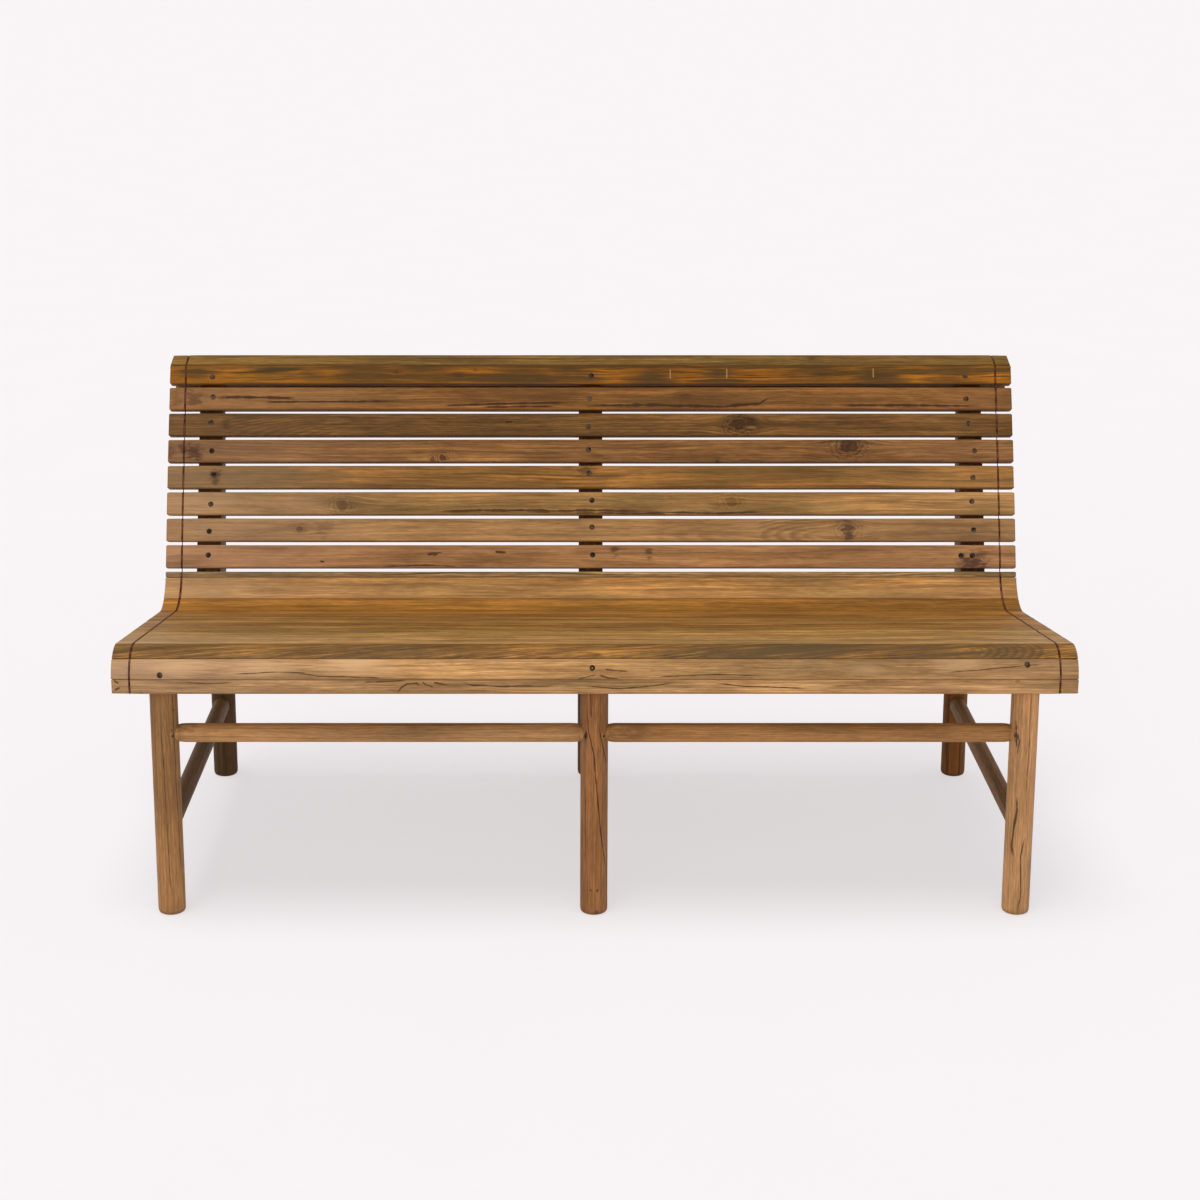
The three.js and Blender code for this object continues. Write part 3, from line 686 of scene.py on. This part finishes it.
def make_strip(node, material, slot, outer_radius, inner_radius, ease):
    """One strip along X, with eased edges and ends, the wire's groove and small hand-made waves."""
    seed = 11.3 + 7.1 * len(SURFACES)
    centre, tangent, normal = middle_of(node), tangent_of(node), facing_of(node)
    outward = Vector(REAR_STRIP_FACE) if node == REAR_STRIP else normal

    def is_outer(point):
        return (point - centre).dot(outward) > 0

    ring = eased(OUTLINES[node], lambda p: outer_radius if is_outer(p) else inner_radius)
    normals = outline_normals(ring)
    outer = [is_outer(point) for point, _ in ring]
    low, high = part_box(node)
    most = END_TRIM * (0.8 if node in CLOSED_STRIPS else 1.0)
    trim = [abs(wobble(seed, end * 9.1)) * most for end in (1, 2)]
    sections = []
    grooved = node != REAR_STRIP
    groove_shade = SEAT_GROOVE_SHADE if slot == "teak_seat" else GROOVE_SHADE
    for x, end_share, groove_share in stations(low.x + trim[0], high.x - trim[1], ease, grooved):
        points, coordinates, wear_and_shade = [], [], []
        swing = wobble(seed, x * 2.1, 4.0) * SLAT_WAVE
        to_end = min(x - low.x, high.x - x)
        open_joint = OPEN_JOINT * max(0.0, 1 - to_end / OPEN_JOINT_LENGTH) ** 0.5
        for (point, edge), out, face in zip(ring, normals, outer):
            inset = SURFACE_INSET * (1 + wobble(seed, x * 5.0, point.y * 40 + point.x * 30))
            inset += end_share * ease * (1.0 if edge < 0.5 else 0.8)
            if face and edge > 0.5:
                inset += open_joint
            moved = point - out * inset
            away = point - centre
            if node in SLATS:
                moved += tangent * swing
                # The slats' lower edges get the full edge darkening as painted shade, the upper edges less
                if away.dot(tangent) > 0:
                    edge *= UPPER_EDGE_WEAR_AND_SHADE
            if face:
                moved -= normal * (GROOVE_DEPTH * groove_share)
            points.append((x, moved.x, moved.y))
            coordinates.append((x, away.dot(tangent), away.dot(normal)))
            # Painted shade in the wire's groove, else the edges' and ends' wear and painted shade
            in_groove = face and grooved and abs(abs(x) - GROOVE_X) < GROOVE_SHADE_REACH
            wear_and_shade.append(groove_shade if in_groove else max(edge, min(1.0, end_share)))
        sections.append((points, coordinates, wear_and_shade))
    SURFACES[node] = [p - out * SURFACE_INSET for (p, _), out, face in zip(ring, normals, outer) if face]
    ringed_mesh(node + "_wood", sections, material, [node])


# ---- poles and fasteners


def lathe(name, profile, start, axis, sides, material, nodes, rough=0.0, seed=1.0, lobes=0.0):
    """A turned piece: profile is (along, radius, edge wear) from start along axis."""
    start, axis = Vector(start), Vector(axis).normalized()
    side = Vector((0, -1, 0)) if abs(axis.z) > 0.9 else axis.orthogonal().normalized()
    other = axis.cross(side)
    sections = []
    widest = max(radius for _, radius, _ in profile)
    for along, radius, wear_and_shade in profile:
        points, coordinates = [], []
        for k in range(sides):
            angle = 2 * math.pi * k / sides
            place = radius
            if rough:
                uneven = wobble(seed, along * 6, math.sin(angle) * 1.3) + wobble(seed + 9, along * 30, angle)
                place -= rough * (1 + 0.5 * uneven) * min(1.0, radius / widest)
            if lobes and radius < widest * 0.5:
                place *= 1 - lobes * (0.5 + 0.5 * math.cos(4 * angle))
            point = start + axis * along + (side * math.cos(angle) + other * math.sin(angle)) * place
            points.append(tuple(point))
            turn = angle if angle <= math.pi else angle - 2 * math.pi
            coordinates.append((along, turn * widest, radius - widest))
        sections.append((points, coordinates, [wear_and_shade] * sides))
    ringed_mesh(name, sections, material, nodes)


def along_steps(low, high, pitch):
    count = max(1, round((high - low) / pitch))
    return [low + (high - low) * i / count for i in range(count + 1)]


def make_leg(row, side, material):
    """A round leg with a worn foot, and the tenon that enters the seat bearer."""
    node = f"leg_{row}_{side}"
    low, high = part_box(node)
    foot = ((low.x + high.x) / 2, (low.y + high.y) / 2, 0)
    top = high.z - LEG_TENON_LENGTH
    profile = [(z * MM, LEG_RADIUS - inset * MM, wear_and_shade) for z, inset, wear_and_shade in LEG_FOOT]
    profile += [(z, LEG_RADIUS, 0.0) for z in along_steps(8 * MM, top - 2 * MM, 9 * MM)]
    profile += [(top, LEG_RADIUS - 0.6 * MM, 0.5), (top + 0.01 * MM, LEG_TENON_RADIUS, 0.0)]
    profile.append((high.z, LEG_TENON_RADIUS, 0.0))
    seed = 31.0 + 3 * SIDES.index(side) + (0 if row == "front" else 40)
    lathe(
        node + "_pole", profile, foot, (0, 0, 1), LEG_SIDES, material, [node],
        rough=LEG_UNEVENNESS, seed=seed,
    )


def make_stretcher(node, material):
    """A round rail, eased at its shoulders, that runs into both legs."""
    low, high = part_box(node)
    size = high - low
    axis = max(range(3), key=lambda a: size[a])
    length = size[axis]
    direction = Vector([1.0 if a == axis else 0.0 for a in range(3)])
    start = (low + high) / 2 - direction * length / 2
    near_end = along_steps(RAIL_SHOULDER, RAIL_SHOULDER + 10 * MM, 3.3 * MM)
    inner = along_steps(RAIL_SHOULDER + RAIL_EASE, length - RAIL_SHOULDER - RAIL_EASE, 11 * MM)
    far_end = [length - along for along in reversed(near_end)]
    tenon = [(0.2 * MM, RAIL_TENON_TIP, 0.0), (RAIL_SHOULDER - 0.1 * MM, RAIL_TENON_RADIUS, 0.0)]
    profile = list(tenon)
    for along in near_end + inner + far_end:
        from_shoulder = min(along - RAIL_SHOULDER, length - RAIL_SHOULDER - along)
        share = min(1.0, from_shoulder / RAIL_EASE)
        profile.append((along, RAIL_RADIUS - RAIL_EASE_DEPTH * (1 - share) ** 2, 0.6 * (1 - share)))
    profile += [(length - along, radius, wear_and_shade) for along, radius, wear_and_shade in reversed(tenon)]
    lathe(
        node + "_rail", profile, start, direction, RAIL_SIDES, material, [node],
        rough=RAIL_UNEVENNESS, seed=71.0 + len(node) + start.x * 3,
    )


def make_screw(name, place, outward, nodes, material):
    """A countersunk screw with a shallow cross, whose head stands just out of the wood."""
    profile = [(a * MM, r * SCREW_SIZE * MM, w) for a, r, w in SCREW_HEAD]
    place = Vector(place) + Vector(outward).normalized() * SCREW_LIFT
    lathe(name, profile, place, outward, SCREW_SIDES, material, nodes, lobes=SCREW_RECESS)


def make_pin(node, outward, material):
    """A steel pin through a tenon: a slightly domed end in the leg's face."""
    low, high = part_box(node)
    length = high.y - low.y
    start = (low + high) / 2 - Vector((0, outward * length / 2, 0))
    profile = [(0, PIN_START_RADIUS, 0), (0.6 * MM, PIN_RADIUS, 0)]
    profile += [(length - 0.5 * MM, PIN_RADIUS, 0.5), (length - 0.05 * MM, PIN_END_RADIUS, 1.0)]
    lathe(node + "_end", profile, start, (0, outward, 0), PIN_SIDES, material, [node])


def put_in_order(bm):
    """Number the mesh by place, because the mesh tools leave it in another order on each run."""
    for parts in (bm.verts, bm.edges, bm.faces):
        def place(part):
            return sorted(tuple(v.co) for v in getattr(part, "verts", [part]))

        for number, part in enumerate(sorted(parts, key=place)):
            part.index = number
        parts.sort()
        parts.ensure_lookup_table()


def soften(node, material, length_axis):
    """The CAD shape again, with eased edges and the grain running along one axis."""
    bm = bmesh.new()
    bm.from_mesh(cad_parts[node].data)
    bmesh.ops.remove_doubles(bm, verts=bm.verts, dist=WELD)
    put_in_order(bm)
    bmesh.ops.dissolve_limit(bm, angle_limit=math.radians(1), verts=bm.verts, edges=bm.edges)
    put_in_order(bm)
    folds = [e for e in bm.edges if len(e.link_faces) == 2 and e.calc_face_angle(0) > SHARP_ANGLE]
    sharp = [e for e in folds if e.calc_length() > SHORT_EDGE]
    bmesh.ops.bevel(
        bm, geom=sharp, offset=RIB_BEVEL, segments=2, profile=0.6, affect="EDGES", clamp_overlap=True,
    )
    bmesh.ops.triangulate(bm, faces=[f for f in bm.faces if len(f.verts) > 4])
    put_in_order(bm)
    points = [v.co.copy() for v in bm.verts]
    faces = []
    for face in bm.faces:
        corners = [v.index for v in face.verts]
        first = corners.index(min(corners))
        faces.append(corners[first:] + corners[:first])
    bm.free()
    low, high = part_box(node)
    centre = (low + high) / 2
    grain = []
    for point in points:
        away = point - centre
        grain.append((away.z, away.y, away.x) if length_axis == 2 else (away.y, away.z, away.x))
    finished(node + "_wood", points, faces, grain, [0.0] * len(points), material, [node])


# ---- inlay wire


def wire_line():
    """The wire's path up the whole run in (y, z), a little under the wood, dipping in each gap."""
    path = []
    for node in CHAIN:
        tangent, normal, centre = tangent_of(node), facing_of(node), middle_of(node)
        points = sorted(SURFACES[node], key=lambda p: p.dot(tangent))
        inner = [p - normal * WIRE_DEPTH for p in points if (p - centre).dot(normal) > 2 * MM]
        if path and node in SLATS and (inner[0] - path[-1]).length > WIRE_GAP:
            path.append((inner[0] + path[-1]) / 2 - normal * WIRE_DIP)
        path += inner
    spaced = [path[0]]
    for point in path[1:]:
        if (point - spaced[-1]).length > WIRE_PITCH:
            spaced.append(point)
    return spaced


def make_wire(side, sign, material):
    path = wire_line()
    sections = []
    travelled = 0.0
    for i, point in enumerate(path):
        before, after = path[max(0, i - 1)], path[min(len(path) - 1, i + 1)]
        tangent = (after - before).normalized()
        normal = Vector((-tangent.y, tangent.x))
        travelled += (point - before).length
        x = sign * GROOVE_X + wobble(5.0 + sign, travelled * 18) * WIRE_SWAY
        lift = wobble(8.0 + sign, travelled * 30) * WIRE_LIFT
        ring, coordinates = [], []
        for k in range(WIRE_SIDES):
            angle = 2 * math.pi * k / WIRE_SIDES
            out = point + normal * (lift + WIRE_RADIUS * math.cos(angle))
            ring.append((x + WIRE_RADIUS * math.sin(angle), out.x, out.y))
            coordinates.append((travelled, angle * WIRE_RADIUS, 0.0))
        sections.append((ring, coordinates, [0.0] * WIRE_SIDES))
    node = f"inlay_wire_{side}"
    ringed_mesh(node + "_copper", sections, material, [node])


# ---- the wood of each piece

STRIPS = {
    "apron_strip_lower": dict(
        base=(162, 121, 82), streaks=0.12, rings=0.35, warm=0.02, pith=(-4, 16), drift=16, ring_pitch=5,
        ends=0.2, fine=0.5, stains=[(-703, -9, 3, 0.6), (655, 9, 5, 0.4)],
        lines=[
            (2.4, 2, [(-745, 10), (-738, 6)]), (2.4, 2, [(-745, -5), (-736, -1)]),
            (2.6, 3, [(-307, -11), (-300, -1), (-291, 5), (-276, 6), (-270, 2)]),
            (2.2, 3, [(-268, 9), (-262, 4), (-250, 0)]), (1.9, 3, [(-251, 8), (-228, 4)]),
            (1.7, 5, [(-212, 9), (-190, 3), (-140, 1), (-60, 2)]),
            (1.5, 5, [(-360, 8), (-312, 9), (-290, 11)]), (1.0, 5, [(-640, 8), (-600, 5), (-560, 7)]),
            (1.4, 4, [(-20, 2), (40, -3), (90, 2), (130, 8)]), (1.4, 4, [(180, 8), (230, 1), (330, -2)]),
        ],
    ),
    "apron_strip_upper": dict(
        base=(159, 118, 78), streaks=0.12, rings=0.25, warm=0.03, pith=(40, 26), ends=0.5, fine=0.5,
        # Pale patches: partly weathered wood, partly painted sheen
        blooms_and_sheen=[
            (-520, 2, 60, 0.7), (-640, 4, 50, 0.6), (-375, 8, 70, 0.9), (-330, 0, 40, 0.4),
            (560, 4, 55, 0.4), (420, 0, 40, 0.3),
        ],
        lines=[
            (1.7, 3, [(-27, -14), (-12, -10), (2, -7)]), (1.7, 3, [(6, -7), (20, -12), (38, -13)]),
            (1.5, 3, [(14, 1), (52, -2)]), (1.2, 4, [(-470, -2), (-430, -9), (-370, -11), (-320, -12)]),
            (1.0, 4, [(-560, -6), (-500, -3), (-440, -4)]), (1.1, 5, [(90, -11), (180, -6), (260, -8)]),
            (1.0, 5, [(540, -4), (640, 4), (700, 9)]),
        ],
    ),
    "nosing_strip": dict(
        base=(127, 89, 45), streaks=0.3, rings=0.6, warm=0.12, pith=(-10, 8), drift=24, ring_pitch=3.4,
        fray=0.2, ends=0.1, contrast=1.05, skew=0.11, streak_tint=srgb(84, 64, 36),
        knots=[(-560, 3, 7, 0.25)],
        shades=[
            (-640, 0, 130, 0.4), (-330, 0, 150, 0.6), (190, -6, 110, 0.7), (330, -2, 170, 0.95),
            (520, 0, 130, 0.9), (640, 0, 90, 0.6),
        ],
        arcs=[(530, 0, 3.6, 3.7, 180, 0.75)],
    ),
    "seat_strip_1": dict(base=(158, 119, 74), streaks=0.2, ends=0.3, fine=0.6),
    "seat_strip_2": dict(base=(157, 118, 74), streaks=0.25, ends=0.3, fine=1.1),
    "seat_strip_3": dict(base=(167, 123, 70), streaks=0.45, pith=(10, 14), ends=0.2, fine=0.9),
    "seat_strip_4": dict(base=(155, 116, 66), streaks=0.5, ends=0.1, tilt=0.14),
    "seat_strip_5": dict(base=(136, 97, 50), streaks=0.4, fine=1.2, pith=(0, 9), drift=12, ends=0.2),
    "seat_strip_6": dict(base=(136, 94, 47), streaks=0.5, fine=1.2, warm=0.1, ends=0.3),
    "seat_strip_7": dict(base=(143, 102, 55), streaks=0.35, ends=0.1, fine=0.5),
    "seat_strip_8": dict(base=(133, 96, 50), streaks=0.55, warm=0.12, ends=0.2, fine=1.0),
    "seat_strip_9": dict(base=(133, 90, 41), streaks=0.4, warm=0.12, ends=0.3, fine=0.5),
    "seat_strip_10": dict(base=(143, 97, 45), streaks=0.3, warm=0.1, ends=0.1, fine=0.7),
    "bend_strip_1": dict(base=(138, 92, 37), streaks=0.1, warm=0.1, rings=0.3, ends=0.1, fine=0.6),
    "bend_strip_2": dict(
        base=(162, 117, 69), streaks=0.1, warm=0.12, rings=0.4, pith=(-6, 12), drift=22, ring_pitch=9,
        ends=0.4, contrast=1.2, fine=0.5,
    ),
    "closing_strip": dict(base=(156, 121, 81), streaks=0.8, ends=0.2, tilt=0.26),
    "back_slat_8": dict(
        base=(152, 107, 69), streaks=0.05, rings=0.15, warm=0.04, contrast=0.45, fine=0.4, ends=0.35,
        lines=[
            (3.0, 3, [(-290, 4), (-262, 8)]), (2.5, 3, [(-278, 2), (-268, 5)]),
            (2.7, 2, [(-170, 9), (-149, 8)]), (2.3, 2, [(-478, -8), (-470, -9)]),
            (1.6, 4, [(-370, -17), (-290, -15), (-230, -17)]),
        ],
        stains=[
            (41, 12, 9, 0.8), (44, 2, 8, 0.6), (102, 8, 9, 0.8), (104, -2, 8, 0.6), (676, -12, 30, 0.95),
            (688, 2, 16, 0.6),
        ],
    ),
    "back_slat_7": dict(
        base=(149, 109, 70), streaks=0.05, rings=0.35, warm=0.03, contrast=0.5, fine=0.4, pith=(2, 8),
        drift=20, ring_pitch=8, fray=0.12, ends=0.35, tilt=-0.08,
        knots=[(-514, 7, 5, 0.7), (455, 2, 11, 0.5)],
        stains=[(450, 6, 18, 0.85), (456, -10, 16, 0.8), (-470, 4, 30, 0.3)],
        arcs=[(440, -8, 5.5, 4.5, -150, 0.5), (300, -10, 7, 6, -190, 0.3)],
    ),
    "back_slat_6": dict(
        base=(153, 113, 69), streaks=0.3, rings=0.4, warm=0.1, contrast=1.0, fine=0.4, pith=(-16, 12),
        lean=-0.5, ends=0.6, fray=0.12, ring_pitch=6, knots=[(-440, -4, 10, 0.6), (248, 4, 10, 0.45)],
        lines=[(3.4, 8, [(-300, -15), (-180, -12), (120, -13)]), (2.5, 7, [(-60, -17), (330, -16)])],
        shades=[(-420, -8, 40, 0.6), (700, -8, 60, 0.5), (330, 0, 90, 0.35)],
    ),
    "back_slat_5": dict(
        base=(128, 93, 53), streaks=0.4, rings=0.3, warm=0.2, contrast=1.5, fine=0.5, lean=-0.35,
        pith=(20, 18), ends=0.6, stains=[(-667, 5, 13, 0.9), (-664, -8, 9, 0.7), (-8, 14, 18, 0.65)],
        shades=[(-200, -12, 200, 0.4), (300, 14, 160, 0.5)],
    ),
    "back_slat_4": dict(
        base=(124, 84, 48), streaks=0.12, rings=0.55, warm=0.06, contrast=0.7, fine=0.6, pith=(-10, 14),
        drift=20, ring_pitch=4, fray=0.16, ends=0.5,
        knots=[(457, 8, 14, 0.95), (-264, -10, 6.5, 0.95), (-280, -12, 4, 0.8), (224, -19, 4, 0.9)],
        stains=[(-702, -2, 20, 0.85), (-722, 3, 12, 0.7), (-745, -2, 14, 0.4)],
    ),
    "back_slat_3": dict(
        base=(106, 71, 35), streaks=0.25, rings=0.4, warm=0.04, contrast=1.05, fine=0.7, pith=(8, 12),
        drift=24, ring_pitch=3.6, fray=0.2, ends=0.3, tilt=0.12,
        knots=[(262, -3, 12, 0.9), (284, -2, 7, 0.8)], stains=[(-650, 2, 14, 0.5)],
        lines=[(3.0, 3, [(-152, 5), (-138, 6)])], blooms_and_sheen=[(286, -5, 14, 0.8), (-455, -17, 12, 0.8)],
        arcs=[(-330, -24, 7, 3.4, -330, 0.6)],
    ),
    "back_slat_2": dict(
        base=(127, 84, 43), streaks=0.2, rings=0.3, warm=0.12, contrast=1.1, fine=0.6, lean=-0.3, ends=0.6,
        tilt=-0.12, ring_pitch=5, knots=[(170, 4, 8, 0.35)],
        stains=[(-705, -2, 26, 0.6), (-655, 2, 12, 0.5), (-735, -2, 20, 0.4)],
        lines=[
            (3.4, 3, [(-665, 3), (-600, 3), (-520, 1)]), (2.3, 5, [(-600, -6), (-330, -4)]),
            (3.8, 7, [(-20, -12), (120, -11), (230, -14), (300, -8), (322, 4)]),
            (3.0, 5, [(320, 4), (300, -9), (250, -13)]), (2.7, 5, [(-280, -13), (-140, -8), (-30, -6)]),
            (2.3, 4, [(-200, -15), (-60, -13)]), (3.0, 6, [(430, -12), (560, -11), (700, -14)]),
        ],
        shades=[(-120, -18, 150, 0.5), (150, -20, 150, 0.6), (480, -20, 140, 0.5)],
    ),
    "back_slat_1": dict(
        base=(137, 83, 15), streaks=0.45, streak_tint=srgb(62, 47, 20), rings=0.2, warm=0.12, contrast=0.9,
        fine=0.5, lean=0.9, ends=0.3, knots=[(-345, 4, 4, 0.5), (-235, -1, 3.4, 0.7), (-206, 9, 3, 0.5)],
        ticks=[(142, 2, 18), (243, 3, 18), (504, 4, 18)],
        shades=[
            (-700, 10, 60, 0.9), (-570, 12, 90, 0.95), (-500, 2, 50, 0.7), (-400, 12, 120, 0.8),
            (-300, 14, 120, 0.7), (-130, 2, 110, 0.85), (-40, 12, 80, 0.8), (110, 0, 55, 0.85),
            (225, 2, 60, 0.9), (400, 16, 120, 0.7), (510, 2, 80, 0.9), (650, 8, 90, 0.8),
        ],
    ),
    "top_cap_strip": dict(
        base=(112, 80, 31), streaks=0.35, streak_tint=srgb(88, 74, 36), rings=0.35, warm=0.08, pith=(0, 16),
        drift=18, ends=0.1, knots=[(395, 0, 8, 0.5)],
    ),
    "rear_top_strip": dict(base=(126, 90, 50), streaks=0.4, rings=0.4),
}


def slot_of(node):
    if node.startswith("back_slat") or node in ("top_cap_strip", REAR_STRIP):
        return "teak_back"
    if node.startswith("apron") or node == "nosing_strip":
        return "teak_apron"
    return "teak_seat"


def make_strips():
    for node in CHAIN + [REAR_STRIP]:
        material = teak(node + "_teak", **STRIPS[node])
        if node in CLOSED_STRIPS:
            make_strip(node, material, slot_of(node), *CLOSED_RADII, CLOSED_EASE)
        else:
            make_strip(node, material, slot_of(node), *SLAT_RADII, SLAT_EASE)


# Slat screws: offset from the rib's middle and from the slat's middle line, in millimetres
SLAT_SCREWS = {
    1: [(3, -3), (1, -1), (-9, -1)],
    2: [(5, 3), (-2, 0), (-9, 0)],
    3: [(2, 4), (-4, -3), (-5, 2)],
    4: [(5, 0), (-4, 2), (4, 0)],
    5: [(9, 5), (-3, 7), (0, -1)],
    6: [(5, -1), (2, 6), (-3, 4)],
    7: [(3, -2), (2, 5), (-1, 0)],
    8: [(2, 3), (3, 3), (-4, 2)],
}


def face_point(node, across):
    """A point in (y, z) on the strip's outer face, and the face's direction."""
    middle, tangent, normal = middle_of(node), tangent_of(node), facing_of(node)
    flat = [p for p in SURFACES[node] if abs((p - middle).dot(tangent)) < SLAT_FLAT]
    height = max((p - middle).dot(normal) for p in flat)
    return middle + tangent * across + normal * height, normal


def make_slat_screws(steel):
    for number, offsets in SLAT_SCREWS.items():
        spots = list(zip(SIDES, offsets))
        if number == 8:
            spots.append(("right_second", (-24, 2)))
        for side, (dx, across) in spots:
            low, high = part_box("back_upright_" + side.split("_")[0])
            x = (low.x + high.x) / 2 + dx * MM
            place, normal = face_point(f"back_slat_{number}", across * MM)
            lean = wobble(2.0, x * 7, number * 1.3) * 0.06
            outward = (lean, normal.x, normal.y)
            make_screw(f"slat_screw_{number}_{side}", (x, place.x, place.y), outward, [], steel)


def make_apron_screws(steel):
    """Each head stands where the CAD screw's head is, square to the rounded front edge."""
    for side in SIDES:
        node = f"apron_screw_{side}"
        points = [v.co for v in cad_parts[node].data.vertices]
        front = min(points, key=lambda p: p.y - p.z * 0.4)
        back = max(points, key=lambda p: (p - front).length)
        middle_x = sum(corner.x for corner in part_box(node)) / 2
        far = [p for p in points if (p - back).length < TAIL_REACH]
        near = [p for p in points if (p - front).length < HEAD_REACH and (p - back).length > HEAD_START]
        tail = sum(far, Vector()) / len(far)
        outward = sum(near, Vector()) / len(near) - tail
        outward.x = 0
        outward.normalize()
        tip = tail + outward * max((p - tail).dot(outward) for p in points)
        make_screw(node + "_head", (middle_x, tip.y, tip.z), outward, [node], steel)


def make_ribs():
    # The bearers and uprights are darker than the other teak: partly their own tone, partly painted shade
    # from between the slats
    rib = dict(streaks=0.25, rings=0.3, fine=0.7, ends=0.0)
    for side in SIDES:
        bearer = teak(f"bearer_{side}_teak", base=(104, 68, 36), **rib)
        soften(f"seat_bearer_{side}", bearer, 1)
        upright = teak(f"upright_{side}_teak", base=(94, 57, 26), **rib)
        soften(f"back_upright_{side}", upright, 2)


# A pole's across is the distance round it from its front: the pins are 15 mm each side
POLES = {
    "leg_front_left": dict(
        base=(140, 99, 63),
        lines=[(0.9, 4, [(396, 20), (240, 19), (60, 23)]), (0.8, 3, [(340, -2), (30, 3)])],
        stains=[(302, 16, 3, 0.8), (312, 15, 3, 0.5), (344, 21, 3, 0.6)], blooms_and_sheen=[(304, 13, 5, 0.7)],
    ),
    "leg_front_centre": dict(
        base=(133, 88, 53), warm=0.1,
        stains=[(302, -15, 8, 1.0), (44, -5, 3, 0.8), (43, 6, 3, 0.8), (4, 6, 6, 0.8)],
        blooms_and_sheen=[(305, -19, 7, 0.7), (302, 14, 7, 0.8)],
        lines=[
            (1.4, 2, [(366, -13), (311, -10), (274, -1), (202, 5), (133, 12), (54, 26)]),
            (1.1, 2, [(318, 7), (290, 13), (250, 24)]), (1.0, 3, [(396, -7), (330, -5)]),
            (0.8, 3, [(230, -16), (90, -14)]),
        ],
    ),
    "leg_front_right": dict(
        base=(162, 118, 80), warm=0.08, stains=[(302, -15, 8, 1.0), (294, -17, 6, 0.7), (315, -18, 6, 0.6)],
        lines=[
            (2.7, 3, [(206, -11), (178, -9), (150, -13), (119, -15), (96, -12)]),
            (1.4, 3, [(138, 7), (102, 0), (65, 2), (31, 3), (2, -2)]),
            (0.8, 3, [(396, 5), (290, 5), (200, 4)]), (1.4, 5, [(330, -18), (280, -15)]),
            (1.2, 6, [(300, -10), (272, -14)]),
        ],
    ),
    # The back legs are the front legs' teak, with the shade under the seat painted into their darker base
    # colours
    "leg_back_left": dict(base=(74, 50, 26), contrast=0.9, streaks=0.4),
    "leg_back_centre": dict(base=(76, 51, 26), contrast=0.9, streaks=0.4),
    "leg_back_right": dict(base=(94, 55, 20), contrast=0.9, streaks=0.4),
    "front_stretcher_left": dict(
        base=(154, 111, 72), knots=[(350, -2, 4, 0.8), (508, 6, 3, 0.6)],
        stains=[(20, 10, 40, 0.5), (35, -12, 30, 0.5), (28, -4, 7, 0.8)], blooms_and_sheen=[(45, 8, 26, 0.5)],
        lines=[(1.5, 6, [(60, 4), (330, 6)]), (1.3, 6, [(370, 6), (600, 2)])],
    ),
    "front_stretcher_right": dict(
        base=(148, 103, 62), knots=[(220, -3, 2.5, 0.6)],
        lines=[
            (2.3, 8, [(20, 0), (170, 3)]), (1.7, 7, [(10, -8), (120, -6)]), (1.5, 8, [(180, 4), (520, 8)]),
        ],
        stains=[(60, 8, 50, 0.4)],
    ),
    "back_stretcher_left": dict(base=(128, 92, 58)),
    "back_stretcher_right": dict(base=(128, 92, 58)),
    "side_stretcher_left": dict(base=(96, 65, 32), contrast=0.9, streaks=0.35),
    "side_stretcher_centre": dict(base=(96, 65, 32), contrast=0.9, streaks=0.35),
    "side_stretcher_right": dict(base=(114, 80, 43), contrast=0.9, streaks=0.35),
}


def make_poles():
    plain = dict(
        contrast=0.4, fine=0.5, streaks=0.08, rings=0.12, veins=0.15, pith=(0, 22), drift=6,
        ring_pitch=3.4, ends=0.0,
    )
    for node, look in POLES.items():
        material = teak(node + "_teak", **{**plain, **look})
        if node.startswith("leg"):
            _, row, side = node.split("_")
            make_leg(row, side, material)
        else:
            make_stretcher(node, material)


def make_fasteners():
    steel = metal("dark_steel_screw", (88, 70, 50), (32, 23, 16), 0.75, 0.15)
    make_slat_screws(steel)
    make_apron_screws(steel)
    for row, outward in (("front", -1), ("back", 1)):
        for side in ("left", "centre_left", "centre_right", "right"):
            make_pin(f"tenon_pin_{row}_{side}", outward, steel)
    copper = metal("aged_copper", (140, 84, 66), (66, 31, 22), 0.6, 0.5)
    make_wire("left", -1, copper)
    make_wire("right", 1, copper)


make_camera()
make_lights()
make_floor()
make_strips()
make_ribs()
make_poles()
make_fasteners()
